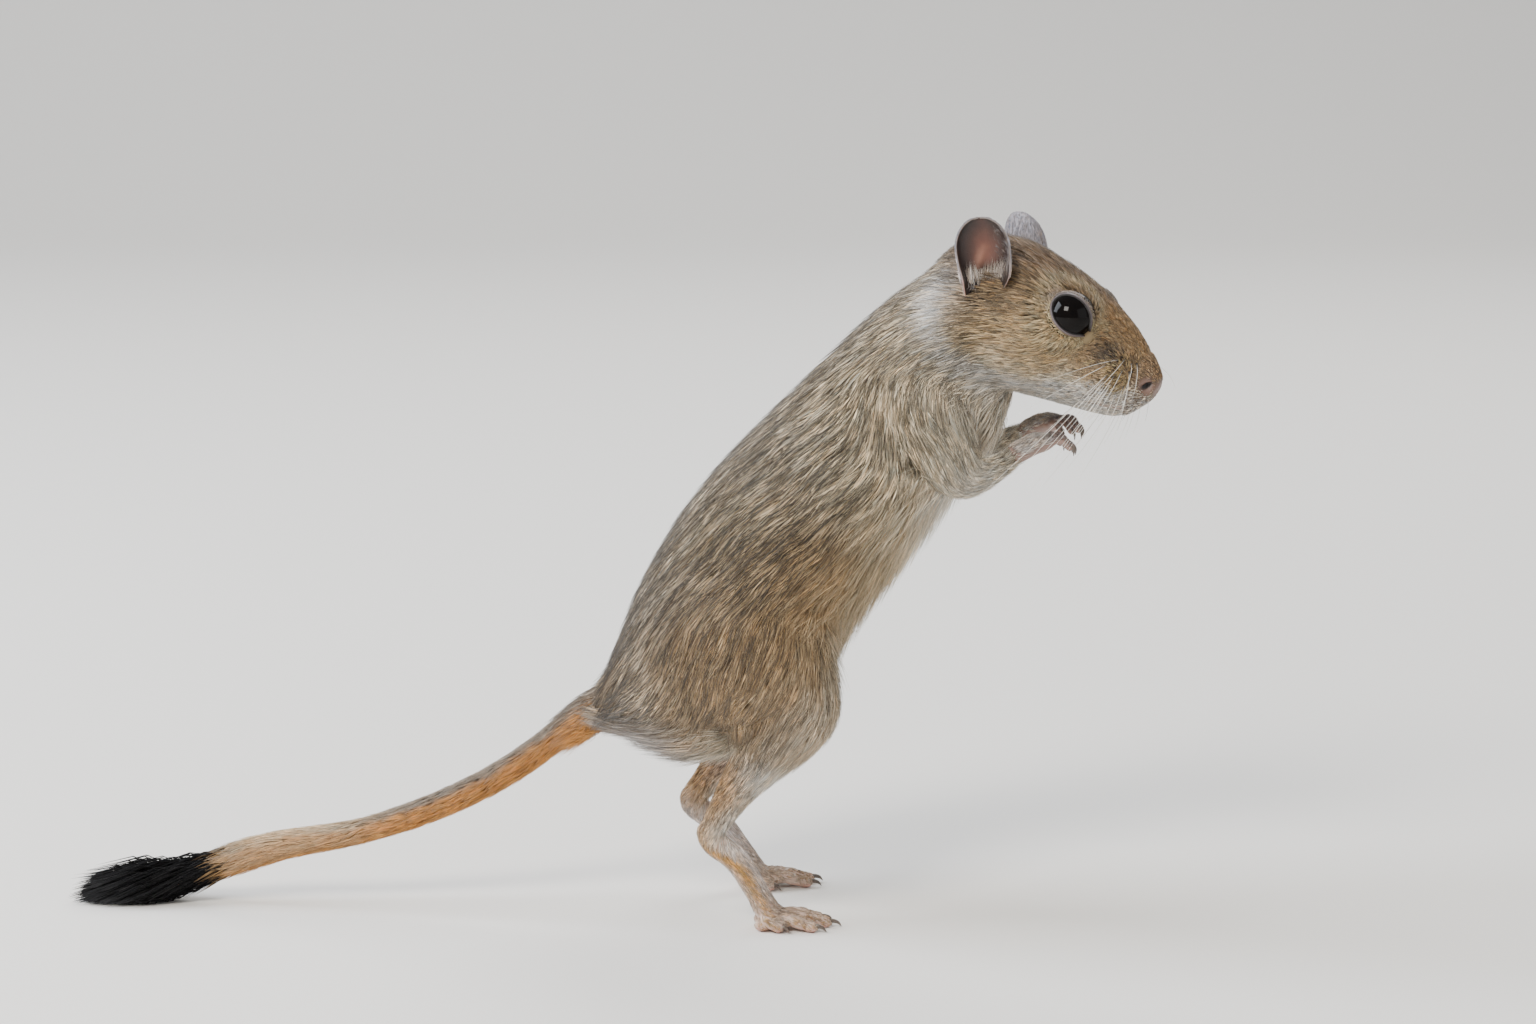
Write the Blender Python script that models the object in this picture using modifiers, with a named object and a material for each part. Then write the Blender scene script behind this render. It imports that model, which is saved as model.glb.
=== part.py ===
"""A life-size gerbil that stands upright on its hind feet, its forepaws raised and its tail laid out behind.

The animal faces +X, its left side is +Y and the floor is z = 0. Sizes in the tables are millimetres, and MM turns
them into the metres of the scene. The trunk, legs, arms and tail are lofted, fused into one body and parted again
with thin cuts. The head, ears, eyes, feet, hands and the locks of the tail brush are made on their own.
"""

import math

import bmesh
import bpy
import numpy as np
from mathutils import Matrix, Vector

MM = 0.001
GAP = 0.3
SEED = 7

# Trunk from the tail's root to inside the head: back x, back z, belly x, belly z, y of the middle, half width.
TRUNK = (
    (-40.2, 37.6, -37.8, 33.8, 0.0, 2.6),
    (-36.4, 41.0, -33.6, 33.4, 0.0, 6.4),
    (-33.2, 46.8, -28.0, 32.2, 0.0, 11.8),
    (-31.0, 53.2, -21.0, 30.2, 0.0, 16.2),
    (-28.4, 59.8, -12.4, 31.2, 0.0, 18.9),
    (-25.2, 66.2, -3.6, 37.6, 0.0, 19.9),
    (-20.6, 73.8, 4.0, 47.5, 0.0, 19.7),
    (-15.2, 80.9, 9.8, 56.4, 0.0, 18.5),
    (-8.3, 88.3, 15.1, 62.8, 0.0, 16.8),
    (-1.6, 95.0, 20.7, 70.1, 0.0, 15.0),
    (5.4, 102.0, 25.5, 77.1, 0.0, 13.4),
    (12.3, 108.8, 30.8, 83.6, -0.2, 12.3),
    (18.9, 114.6, 34.9, 89.8, -0.6, 11.4),
    (25.4, 118.4, 38.0, 95.6, -1.3, 10.7),
    (31.0, 118.6, 39.5, 102.0, -2.4, 8.8),
)

# Hind leg of the right side from the hip to below the ankle: x, y, z, half depth, half width.
HIND_LEG = (
    (-16.0, -6.5, 57.0, 8.0, 6.0),
    (-12.0, -10.4, 52.0, 14.0, 10.2),
    (-5.6, -13.0, 45.6, 12.6, 9.2),
    (-1.6, -13.6, 40.0, 8.6, 7.0),
    (-5.4, -13.7, 33.4, 6.0, 5.0),
    (-9.6, -13.7, 28.0, 4.7, 3.8),
    (-13.0, -13.6, 22.8, 3.7, 2.9),
    (-15.4, -13.5, 18.6, 3.1, 2.7),
    (-16.4, -13.5, 16.6, 2.8, 2.5),
)
# Foreleg of the right side from the shoulder to past the wrist: x, y, z, half depth, half width.
FORELEG = (
    (15.0, -6.0, 99.0, 5.0, 4.0),
    (19.0, -8.6, 95.0, 8.0, 5.4),
    (24.4, -11.8, 88.2, 6.4, 4.6),
    (28.4, -14.0, 81.8, 4.0, 3.7),
    (34.0, -12.8, 83.4, 2.8, 2.8),
    (39.0, -11.0, 86.2, 2.0, 2.2),
    (40.8, -10.6, 87.0, 1.8, 2.1),
)
# Each side's joints stand away from the right-hand table by this much: x, y, z for the first and for the last row.
LEFT_HIND_SHIFT = ((0.0, 0.0, 0.0), (-4.6, 0.3, -0.4))
LEFT_FORE_SHIFT = ((0.6, 0.0, 0.0), (4.4, -6.2, 2.1))

# Tail from inside the rump to where the brush starts: x, y, z, half depth, half width.
TAIL = (
    (-30.0, 0.0, 40.6, 3.8, 3.8),
    (-36.6, 0.0, 37.3, 3.6, 3.6),
    (-43.0, 0.1, 32.8, 3.1, 3.1),
    (-53.9, 0.5, 25.0, 3.0, 3.0),
    (-67.5, 1.2, 18.2, 2.9, 2.9),
    (-81.2, 2.0, 13.6, 2.75, 2.8),
    (-94.8, 3.0, 10.9, 3.0, 3.0),
    (-103.5, 3.6, 8.3, 3.2, 3.2),
    (-106.0, 3.8, 7.4, 3.1, 3.1),
)
# Core of the tail brush, x, y, z, half depth, half width: it reaches less than half way to the locks' tips.
BRUSH_CORE = (
    (-104.0, 3.65, 8.1, 3.1, 3.1),
    (-107.0, 3.9, 7.0, 2.6, 2.6),
    (-112.0, 4.2, 5.4, 1.9, 1.9),
    (-119.0, 4.6, 3.6, 1.3, 1.4),
    (-126.5, 5.0, 2.3, 0.6, 0.8),
)
BRUSH_RINGS = 5
BRUSH_LOCKS = 7
LOCK_LENGTH = 13.0
LOCK_WIDTH = 2.1
LOCK_THICKNESS = 0.7
LOCK_SPLAY = 15.0

# Head, in its own frame: the nose tip is its origin, x runs forward along the muzzle, y to the left and z up.
NOSE_TIP = (63.2, -15.0, 98.8)
HEAD_YAW, HEAD_PITCH, HEAD_ROLL = -24.0, 22.0, -3.0
# Distance behind the nose tip, crown height, chin height, half width, height of the widest line.
HEAD = (
    (0.0, 0.5, -1.9, 0.9, -0.8),
    (-0.5, 1.5, -3.4, 1.9, -1.2),
    (-1.6, 2.7, -5.2, 3.0, -1.7),
    (-3.5, 4.2, -7.4, 4.3, -2.0),
    (-7.5, 7.0, -9.6, 6.3, -2.2),
    (-13.0, 9.6, -10.8, 8.0, -1.8),
    (-18.5, 11.4, -11.8, 9.4, -1.6),
    (-25.0, 12.8, -12.8, 10.3, -2.4),
    (-32.0, 13.2, -13.6, 10.4, -3.0),
    (-38.0, 11.8, -14.0, 9.7, -2.6),
    (-43.0, 8.2, -11.5, 7.8, -2.0),
    (-45.5, 3.0, -6.0, 4.0, -2.0),
)
# Swellings of the head: x, y, z of the middle, reach, height, each on both sides.
SWELLINGS = (
    (-7.5, 6.2, -3.2, 3.6, 0.9),
    (-18.3, 8.6, 5.3, 6.0, 1.1),
    (-20.0, 7.6, 11.2, 4.2, 0.5),
    (-25.0, 10.0, -6.5, 7.0, 1.0),
    (-4.5, 0.0, -8.6, 2.2, 0.5),
)
EYE_CENTRE = (-18.3, 6.1, 5.3)
EYE_RADIUS = 4.4
EYE_OUTWARD = (0.26, 0.93, 0.26)
LID_THICKNESS = 0.6
LID_OPENING = (3.8, 3.3)
CANTHUS_REACH = 0.9
NOSTRIL = (-2.0, 2.7, 0.2)
NOSTRIL_RADII = (0.95, 0.55, 0.45)
# Line of the mouth on the left side from the middle of the lip: x, y, z in the head's frame.
MOUTH = ((-2.6, 0.0, -6.5), (-3.7, 2.7, -6.4), (-6.6, 4.4, -6.8), (-9.6, 5.6, -7.3))
MOUTH_DEPTH = 0.34

# Whiskers of each side: row from the pad's top, place from its front at 0 to its back at 1, length.
WHISKERS = (
    (0, 0.3, 18.0),
    (1, 0.8, 22.0),
    (2, 0.3, 20.0),
    (2, 1.0, 25.0),
    (3, 0.0, 18.0),
    (3, 0.5, 22.0),
    (4, 0.2, 17.0),
    (4, 0.6, 14.0),
)
# The pad's first place behind the nose and first height, and their steps with place and row, in the head's frame.
PAD_START, PAD_BACK, PAD_DOWN = (-4.4, 1.7), -5.0, -1.25
WHISKER_RADIUS, WHISKER_TIP_RADIUS, WHISKER_SUNK = 0.27, 0.13, 2.0
# Left ear, in the head's frame: its notch, the direction of its tip and the way that its mouth faces.
EAR_NOTCH = (-33.0, 9.9, 2.2)
EAR_TIPWARD = (-7.0, 0.3, 13.6)
EAR_FACING = (0.45, 0.87, 0.20)
EAR_LENGTH, EAR_WIDTH, EAR_THICKNESS, EAR_DEPTH = 14.2, 9.6, 0.8, 2.8
# Share of the length up to the widest line, and how far the sheet runs on below the notch.
EAR_WIDEST, EAR_BURIED = 0.62, 3.0
# Hollow of the ear in the head: rise of its middle above the notch, its place in front of the sheet, its radii.
EAR_HOLLOW = (4.2, 1.4, (6.0, 3.7, 3.9))

# Hind foot, in its own frame: the ball's middle on the floor is the origin, x forward along the foot.
BALL_RIGHT, BALL_LEFT = (-4.8, -13.8, 0.0), (-7.2, 14.6, 0.0)
FOOT_TURN_RIGHT, FOOT_TURN_LEFT = 2.0, 16.0
# Toes from the inner to the outer: place across the ball, distance behind it, spread outwards in degrees, length.
TOES = (
    (-2.4, 2.2, -24.0, 3.8),
    (-1.6, 0.2, -9.0, 9.2),
    (0.0, 0.0, 1.0, 10.2),
    (1.6, 0.5, 15.0, 8.2),
    (2.4, 2.2, 24.0, 3.8),
)
TOE_RADIUS, TOE_TIP_RADIUS = 1.3, 0.85
HIND_CLAW = 2.0
HEEL_REACH = 3.4

# Hand: digits as sideways place at the knuckles, spread in degrees, length.
DIGITS = ((-1.9, -22.0, 3.6), (-0.65, -7.0, 4.4), (0.65, 6.0, 4.4), (1.9, 20.0, 3.6))
DIGIT_RADIUS = 0.72
FORE_CLAW = 1.3
PALM_LENGTH = 5.0

COAT = (0.52, 0.40, 0.26)
BELLY = (0.78, 0.70, 0.58)
SKIN = (0.72, 0.52, 0.45)
BLACK = (0.02, 0.018, 0.018)


def unit(v):
    """The rows of v, or v itself, scaled to length one."""
    v = np.asarray(v, float)
    return v / np.linalg.norm(v, axis=-1, keepdims=True)


def spline(rows, count):
    """count samples, evenly spaced along the curve, of the smooth cubic through the rows of a table."""
    rows = np.array(rows, float)
    steps = np.linalg.norm(np.diff(rows[:, :3], axis=0), axis=1)
    knots = np.concatenate([[0.0], np.cumsum(steps)])
    slopes = np.gradient(rows, knots, axis=0)
    at = np.linspace(0.0, knots[-1], count)
    k = np.clip(np.searchsorted(knots, at, side="right") - 1, 0, len(knots) - 2)
    span = (knots[k + 1] - knots[k])[:, None]
    t = (at - knots[k])[:, None] / span
    start = (1 + 2 * t) * (1 - t) ** 2 * rows[k] + t * (1 - t) ** 2 * span * slopes[k]
    end = t * t * (3 - 2 * t) * rows[k + 1] - t * t * (1 - t) * span * slopes[k + 1]
    return start + end


def mesh_object(name, points, faces):
    """A mesh object from points in millimetres, its faces turned outwards."""
    mesh = bpy.data.meshes.new(name)
    mesh.from_pydata([tuple(p) for p in np.asarray(points) * MM], [], faces)
    shell = bmesh.new()
    shell.from_mesh(mesh)
    bmesh.ops.recalc_face_normals(shell, faces=shell.faces)
    bmesh.ops.triangulate(shell, faces=[f for f in shell.faces if len(f.verts) > 4])
    shell.to_mesh(mesh)
    shell.free()
    obj = bpy.data.objects.new(name, mesh)
    bpy.context.scene.collection.objects.link(obj)
    return obj


def ring_faces(rings, sides):
    """The quads between rings of points, and one polygon over each end."""
    i, j = np.meshgrid(np.arange(rings - 1), np.arange(sides), indexing="ij")
    a, b = i * sides + j, i * sides + (j + 1) % sides
    quads = np.stack([a, b, b + sides, a + sides], axis=-1).reshape(-1, 4).tolist()
    return quads + [list(range(sides)), list(range((rings - 1) * sides, rings * sides))]


def ringed(name, centres, side, up, sides):
    """A closed body through elliptical rings: side and up are each ring's half axes."""
    angle = np.linspace(0, 2 * np.pi, sides, endpoint=False)[:, None]
    points = centres[:, None] + side[:, None] * np.cos(angle) + up[:, None] * np.sin(angle)
    return mesh_object(name, points.reshape(-1, 3), ring_faces(len(centres), sides))


def loft(name, rows, rings, sides, across=(0.0, 1.0, 0.0)):
    """A round body along a table's path. across is the direction of the half width."""
    samples = spline(rows, rings)
    centres, depth, width = samples[:, :3], samples[:, 3:4], samples[:, 4:5]
    along = unit(np.gradient(centres, axis=0))
    across = np.array(across)
    side = unit(across - (along @ across)[:, None] * along)
    return ringed(name, centres, side * width, np.cross(side, along) * depth, sides)


def trunk_loft(rings, sides):
    """The trunk, whose rings run from the back's outline to the belly's."""
    rows = np.array(TRUNK, float)
    back = np.stack([rows[:, 0], rows[:, 4], rows[:, 1]], axis=1)
    belly = np.stack([rows[:, 2], rows[:, 4], rows[:, 3]], axis=1)
    samples = spline(np.column_stack([(back + belly) / 2, (back - belly) / 2, rows[:, 5]]), rings)
    side = np.array([[0.0, 1.0, 0.0]]) * samples[:, 6:7]
    return ringed("trunk", samples[:, :3], side, samples[:, 3:6], sides)


def ellipsoid(name, centre, radii, along=(1.0, 0.0, 0.0), across=(0.0, 1.0, 0.0), segments=24):
    """An ellipsoid whose first radius lies along one direction and whose second lies across it."""
    first = unit(along)
    across = np.array(across, float)
    second = unit(across - (across @ first) * first)
    turn = np.array([first, second, np.cross(first, second)]).T
    sphere = bmesh.new()
    bmesh.ops.create_uvsphere(sphere, u_segments=segments, v_segments=segments // 2, radius=1.0)
    mesh = bpy.data.meshes.new(name)
    sphere.to_mesh(mesh)
    sphere.free()
    shape = Matrix((turn * np.array(radii)).tolist()).to_4x4()
    mesh.transform(Matrix.Translation(Vector(centre) * MM) @ Matrix.Scale(MM, 4) @ shape)
    obj = bpy.data.objects.new(name, mesh)
    bpy.context.scene.collection.objects.link(obj)
    return obj


def disc(name, centre, normal, radius, thickness=GAP, sides=32):
    """A thin round cutter across a limb."""
    plate = bmesh.new()
    bmesh.ops.create_cone(
        plate, cap_ends=True, segments=sides, radius1=radius * MM, radius2=radius * MM, depth=thickness * MM
    )
    mesh = bpy.data.meshes.new(name)
    plate.to_mesh(mesh)
    plate.free()
    turn = Vector(normal).to_track_quat("Z", "Y").to_matrix().to_4x4()
    mesh.transform(Matrix.Translation(Vector(centre) * MM) @ turn)
    obj = bpy.data.objects.new(name, mesh)
    bpy.context.scene.collection.objects.link(obj)
    return obj


def apply_modifiers(obj):
    """The object's evaluated mesh takes the place of its mesh and modifiers."""
    graph = bpy.context.evaluated_depsgraph_get()
    mesh = bpy.data.meshes.new_from_object(obj.evaluated_get(graph))
    obj.modifiers.clear()
    obj.data = mesh
    return obj


def boolean(obj, others, operation):
    """One Boolean with all the other objects, applied; the others are then removed."""
    collection = bpy.data.collections.new(obj.name + "_tools")
    bpy.context.scene.collection.children.link(collection)
    for other in others:
        collection.objects.link(other)
    modifier = obj.modifiers.new(operation.lower(), "BOOLEAN")
    modifier.operation = operation
    modifier.operand_type = "COLLECTION"
    modifier.collection = collection
    modifier.solver = "EXACT"
    apply_modifiers(obj)
    for other in others:
        bpy.data.objects.remove(other)
    bpy.data.collections.remove(collection)
    return obj


def loose_pieces(obj):
    """The vertex sets of the object's separate surfaces, largest first."""
    shell = bmesh.new()
    shell.from_mesh(obj.data)
    shell.verts.ensure_lookup_table()
    unseen = set(range(len(shell.verts)))
    pieces = []
    while unseen:
        queue = [unseen.pop()]
        piece = set(queue)
        while queue:
            vert = shell.verts[queue.pop()]
            for edge in vert.link_edges:
                other = edge.other_vert(vert).index
                if other in unseen:
                    unseen.remove(other)
                    piece.add(other)
                    queue.append(other)
        pieces.append(piece)
    shell.free()
    return sorted(pieces, key=len, reverse=True)


def keep_vertices(obj, keep):
    """Deletes every vertex of the object that isn't in keep."""
    shell = bmesh.new()
    shell.from_mesh(obj.data)
    bmesh.ops.delete(shell, geom=[v for v in shell.verts if v.index not in keep], context="VERTS")
    shell.to_mesh(obj.data)
    shell.free()


def thinned(obj, ratio):
    """Collapses the object's smallest facets down to a share of them."""
    thin = obj.modifiers.new("thin", "DECIMATE")
    thin.ratio = ratio
    return apply_modifiers(obj)


def keep_largest(obj):
    """Drops all but the object's largest closed surface."""
    keep_vertices(obj, loose_pieces(obj)[0])
    return obj


def copy_of(obj, name):
    """A copy of the object with a mesh of its own."""
    copy = obj.copy()
    copy.data = obj.data.copy()
    copy.name = name
    bpy.context.scene.collection.objects.link(copy)
    return copy


def grown(obj, amount):
    """A copy of the object, swollen by amount along its normals."""
    copy = copy_of(obj, obj.name + "_grown")
    push = copy.modifiers.new("push", "DISPLACE")
    push.strength = amount * MM
    push.mid_level = 0.0
    return apply_modifiers(copy)


def floor_cutter():
    """A block under the floor, which leaves flats where a foot or the brush presses on it."""
    block = ellipsoid("under_floor", (0, 0, 0), (1, 1, 1), segments=8)
    cube = bmesh.new()
    bmesh.ops.create_cube(cube, size=1.0)
    cube.to_mesh(block.data)
    cube.free()
    block.data.transform(Matrix.Translation((0, 0, -0.01)) @ Matrix.Diagonal((0.6, 0.3, 0.02, 1)))
    return block


def mirrored(rows, first_shift, last_shift):
    """A right-hand table taken to the left side, its rows shifted evenly from the first to the last."""
    rows = np.array(rows, float)
    rows[:, 1] *= -1
    share = np.linspace(0, 1, len(rows))[:, None] ** 2
    rows[:, :3] += (1 - share) * np.array(first_shift) + share * np.array(last_shift)
    return rows


def head_axes():
    """The head's forward, left and up directions as the columns of a matrix."""
    yaw, pitch, roll = (math.radians(a) for a in (HEAD_YAW, HEAD_PITCH, HEAD_ROLL))
    turn = Matrix.Rotation(yaw, 3, "Z") @ Matrix.Rotation(pitch, 3, "Y") @ Matrix.Rotation(roll, 3, "X")
    return np.array(turn)


def from_head(points):
    """Points of the head's frame, in the animal's frame."""
    return np.asarray(points, float) @ head_axes().T + np.array(NOSE_TIP)


def on_side(point, side):
    """A point or direction given for the left, on the side +1 for left or -1 for right."""
    return np.array(point, float) * (1.0, side, 1.0)


def fused_body(hind_left, fore_left):
    """Trunk, legs and tail as one smooth skin."""
    tubes = [
        trunk_loft(60, 40),
        loft("hind_right", HIND_LEG, 36, 24),
        loft("hind_left", hind_left, 36, 24),
        loft("fore_right", FORELEG, 32, 20),
        loft("fore_left", fore_left, 32, 20),
        loft("tail", TAIL, 44, 16),
    ]
    body = boolean(tubes[0], tubes[1:], "UNION")
    body.name = "body"
    remesh = body.modifiers.new("remesh", "REMESH")
    remesh.mode = "VOXEL"
    remesh.voxel_size = 0.8 * MM
    smooth = body.modifiers.new("smooth", "SMOOTH")
    smooth.factor = 0.5
    smooth.iterations = 12
    apply_modifiers(body)
    return keep_largest(thinned(body, 0.036))


# Muscles that are parted from the trunk by a curved cut: middle, radii, long direction.
THIGH_CUT = ((-7.4, -19.5, 47.6), (17.5, 16.5, 11.5), (0.62, 0.0, -0.78))
UPPER_ARM_CUT = ((24.4, -14.6, 87.4), (11.6, 8.0, 7.6), (0.53, -0.2, -0.82))

# Straight cuts: x, y, z of the middle, direction across, radius.
CUTS = (
    ((31.6, -1.2, 107.1), (0.925, -0.12, 0.376), 22.0),
    ((24.9, -0.5, 99.9), (0.74, -0.06, 0.67), 18.4),
    ((6.0, 0.0, 80.4), (0.66, 0.0, 0.75), 25.0),
    ((-9.2, 0.0, 60.0), (0.53, 0.0, 0.85), 26.0),
    ((-37.2, 0.0, 36.9), (0.83, 0.0, 0.56), 6.5),
    ((-60.0, 0.8, 21.4), (0.87, 0.0, 0.49), 8.0),
    ((-83.0, 2.1, 13.1), (0.97, 0.0, 0.24), 8.0),
    ((-104.0, 3.65, 8.1), (0.93, 0.0, 0.36), 8.0),
)


def part_body(body, hind_left, fore_left):
    """Cuts the fused body into named nodes."""
    muscles = []
    for name, (centre, radii, along), left_rows in (
        ("thigh", THIGH_CUT, hind_left),
        ("upper_arm", UPPER_ARM_CUT, fore_left),
    ):
        for side, word in ((-1, "right"), (1, "left")):
            here = on_side(centre, -side)
            if side == 1:
                here = here + (left_rows[2][:3] - on_side(dict(thigh=HIND_LEG, upper_arm=FORELEG)[name][2][:3], -1))
            axis = on_side(along, -side)
            core = ellipsoid(f"{name}_{word}_core", here, radii, along=axis, segments=20)
            shell = ellipsoid(f"{name}_{word}_shell", here, np.array(radii) + GAP, along=axis, segments=20)
            muscle = copy_of(body, f"{name}_{word}")
            boolean(muscle, [core], "INTERSECT")
            muscles.append(keep_largest(muscle))
            boolean(body, [shell], "DIFFERENCE")
    cutters = [disc(f"cut_{i}", *cut) for i, cut in enumerate(CUTS)]
    for rows in (HIND_LEG, hind_left):
        knee = 0.12 * np.array(rows[4][:3]) + 0.88 * np.array(rows[5][:3])
        cutters.append(disc("cut_knee", knee, np.subtract(rows[5][:3], rows[4][:3]), 7.2))
        cutters.append(disc("cut_ankle", rows[-2][:3], np.subtract(rows[-1][:3], rows[-2][:3]), 6.0))
    for rows in (FORELEG, fore_left):
        cutters.append(disc("cut_wrist", rows[-2][:3], np.subtract(rows[-1][:3], rows[-2][:3]), 4.5))
    boolean(body, cutters, "DIFFERENCE")
    labels = {
        "neck": (28.0, -0.8, 103.6),
        "chest": (15.5, 0.0, 90.0),
        "abdomen": (-1.5, 0.0, 70.0),
        "rump": (-16.0, 0.0, 44.0),
        "tail_root": TAIL[3][:3],
        "tail_middle": (-71.0, 1.4, 17.0),
        "tail_end": TAIL[6][:3],
        "shank_right": np.add(HIND_LEG[5][:3], HIND_LEG[6][:3]) / 2,
        "shank_left": (hind_left[5][:3] + hind_left[6][:3]) / 2,
        "forearm_right": FORELEG[4][:3],
        "forearm_left": fore_left[4][:3],
    }
    pieces = loose_pieces(body)
    points = np.array([v.co for v in body.data.vertices]) / MM
    middles = np.array([(points[list(p)].min(axis=0) + points[list(p)].max(axis=0)) / 2 for p in pieces])
    nodes = []
    for name, place in labels.items():
        nearest = int(np.argmin(np.linalg.norm(middles - np.array(place), axis=1)))
        node = copy_of(body, name)
        keep_vertices(node, pieces[nearest])
        nodes.append(node)
    bpy.data.objects.remove(body)
    return nodes + muscles


def head_surface(rings, sides):
    """The head's skin as points in its own frame. Each ring is two half ellipses that meet at the widest line."""
    rows = np.array(HEAD, float)
    table = np.column_stack([rows[:, 0], rows[:, 1] - rows[:, 2], np.zeros(len(rows)), rows[:, 1:]])
    samples = spline(table, rings)
    x, top, bottom, width, middle = (samples[:, [i]] for i in (0, 3, 4, 5, 6))
    angle = np.linspace(0, 2 * np.pi, sides, endpoint=False)[None, :]
    rise = np.sin(angle)
    z = middle + np.where(rise > 0, top - middle, middle - bottom) * rise
    y = width * np.sign(np.cos(angle)) * np.abs(np.cos(angle)) ** 0.92
    points = np.stack([np.broadcast_to(x, z.shape), y, z], axis=-1).reshape(-1, 3)
    outward = unit(points * (0.0, 1.0, 1.0) + (0.0, 0.0, 1e-6))
    for cx, cy, cz, reach, height in SWELLINGS:
        for side in (1, -1) if cy else (1,):
            far = np.linalg.norm(points - np.array([cx, side * cy, cz]), axis=1)
            points = points + outward * (height * np.exp(-((far / reach) ** 2)))[:, None]
    return points


def lid_opening(side):
    """A cutter with the eye slit's outline: an oval drawn out to a corner in front."""
    outward = unit(on_side(EYE_OUTWARD, side))
    forward = unit(np.array([1.0, 0.0, -0.42]) - outward * (np.array([1.0, 0.0, -0.42]) @ outward))
    upward = np.cross(outward, forward) * side
    angle = np.linspace(0, 2 * np.pi, 24, endpoint=False)
    corner = CANTHUS_REACH * np.exp(-(((angle + np.pi) % (2 * np.pi) - np.pi) / 0.30) ** 2)
    outline = (
        ((LID_OPENING[0] * np.cos(angle) + corner))[:, None] * forward
        + (LID_OPENING[1] * np.sin(angle))[:, None] * upward
    )
    centre = on_side(EYE_CENTRE, side)
    near, far = centre + outline * 0.9 + outward * 1.2, centre + outline * 1.25 + outward * 8.0
    return mesh_object(f"opening_{side}", from_head(np.concatenate([near, far])), ring_faces(2, len(angle)))


def mouth_cutter():
    """A thin tube along the lips' line, half sunk into the muzzle, which leaves the line as a groove."""
    left = np.array(MOUTH, float)
    path = np.concatenate([left[:0:-1] * (1, -1, 1), left])
    rows = np.column_stack([from_head(path), np.full((len(path), 2), MOUTH_DEPTH)])
    return loft("mouth", rows, 22, 6, across=tuple(head_axes()[:, 2]))


def whisker(row, place, length, side):
    """A whisker: a thin tapered tube, sunk into the muzzle, that runs outwards and then bends back and down."""
    rows = np.array(HEAD, float)[::-1]
    x, z = PAD_START[0] + PAD_BACK * place, PAD_START[1] + PAD_DOWN * row
    top, bottom, width, middle = (np.interp(x, rows[:, 0], rows[:, i]) for i in (1, 2, 3, 4))
    rise = (z - middle) / (top - middle if z > middle else middle - bottom)
    root = np.array([x, width * math.sqrt(1 - rise**2), z])
    way = unit((0.60 - place, 0.80, 0.75 - 0.42 * row))
    bend = np.array([-0.30, -0.25, -0.70])
    t = np.linspace(0, 1, 4)[:, None]
    path = np.concatenate([[root - way * WHISKER_SUNK], root + length * (way * t + bend * t**2 / 2)])
    radius = np.linspace(WHISKER_RADIUS, WHISKER_TIP_RADIUS, len(path))
    tube = np.column_stack([from_head(path * (1, side, 1)), radius, radius])
    return loft("whisker", tube, 6, 3, across=tuple(head_axes()[:, 2]))


def make_head():
    """The head with lids, eye sockets, nostrils, the line of the mouth and whiskers."""
    rings, sides = 28, 32
    head = mesh_object("head", from_head(head_surface(rings, sides)), ring_faces(rings, sides))
    lids, openings, sockets, hollows, nostrils = [], [], [], [], []
    for side in (-1, 1):
        centre = from_head(on_side(EYE_CENTRE, side))
        outward = head_axes() @ on_side(EYE_OUTWARD, side)
        lids.append(ellipsoid("lid", centre, [EYE_RADIUS + LID_THICKNESS] * 3, along=outward, segments=20))
        openings.append(lid_opening(side))
        sockets.append(ellipsoid("socket", centre, [EYE_RADIUS + GAP] * 3, along=outward, segments=16))
        slit = head_axes() @ on_side((0.55, -0.45, 0.6), side)
        hollows.append(ear_hollow(side))
        nostrils.append(ellipsoid("nostril", from_head(on_side(NOSTRIL, side)), NOSTRIL_RADII, along=slit, segments=10))
    boolean(head, lids, "UNION")
    boolean(head, openings, "DIFFERENCE")
    boolean(head, sockets + hollows + nostrils + [mouth_cutter()], "DIFFERENCE")
    boolean(head, [whisker(*each, side) for side in (-1, 1) for each in WHISKERS], "UNION")
    (centre, normal, _) = CUTS[0]
    behind = np.array(centre) - unit(normal) * (25.0 - GAP / 2)
    boolean(head, [disc("behind_neck", behind, normal, 40.0, thickness=50.0)], "DIFFERENCE")
    return keep_largest(head)


def make_eye(side, word):
    """The eyeball, a full sphere in its socket."""
    outward = head_axes() @ on_side(EYE_OUTWARD, side)
    return ellipsoid(f"eye_{word}", from_head(on_side(EYE_CENTRE, side)), [EYE_RADIUS] * 3, along=outward, segments=18)


def ear_axes():
    """The left ear's directions in the head's frame: to its tip, the way it faces, and across it."""
    tipward = unit(EAR_TIPWARD)
    facing = unit(np.array(EAR_FACING) - tipward * (np.array(EAR_FACING) @ tipward))
    return tipward, facing, np.cross(tipward, facing)


def ear_hollow(side):
    """The cutter for the hollow that the ear's cup runs down into."""
    tipward, facing, _ = ear_axes()
    rise, ahead, radii = EAR_HOLLOW
    place = on_side(np.array(EAR_NOTCH) + rise * tipward + ahead * facing, side)
    long_way, across = (head_axes() @ on_side(way, side) for way in (tipward, np.cross(tipward, facing)))
    return ellipsoid("hollow", from_head(place), radii, along=long_way, across=across, segments=14)


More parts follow.
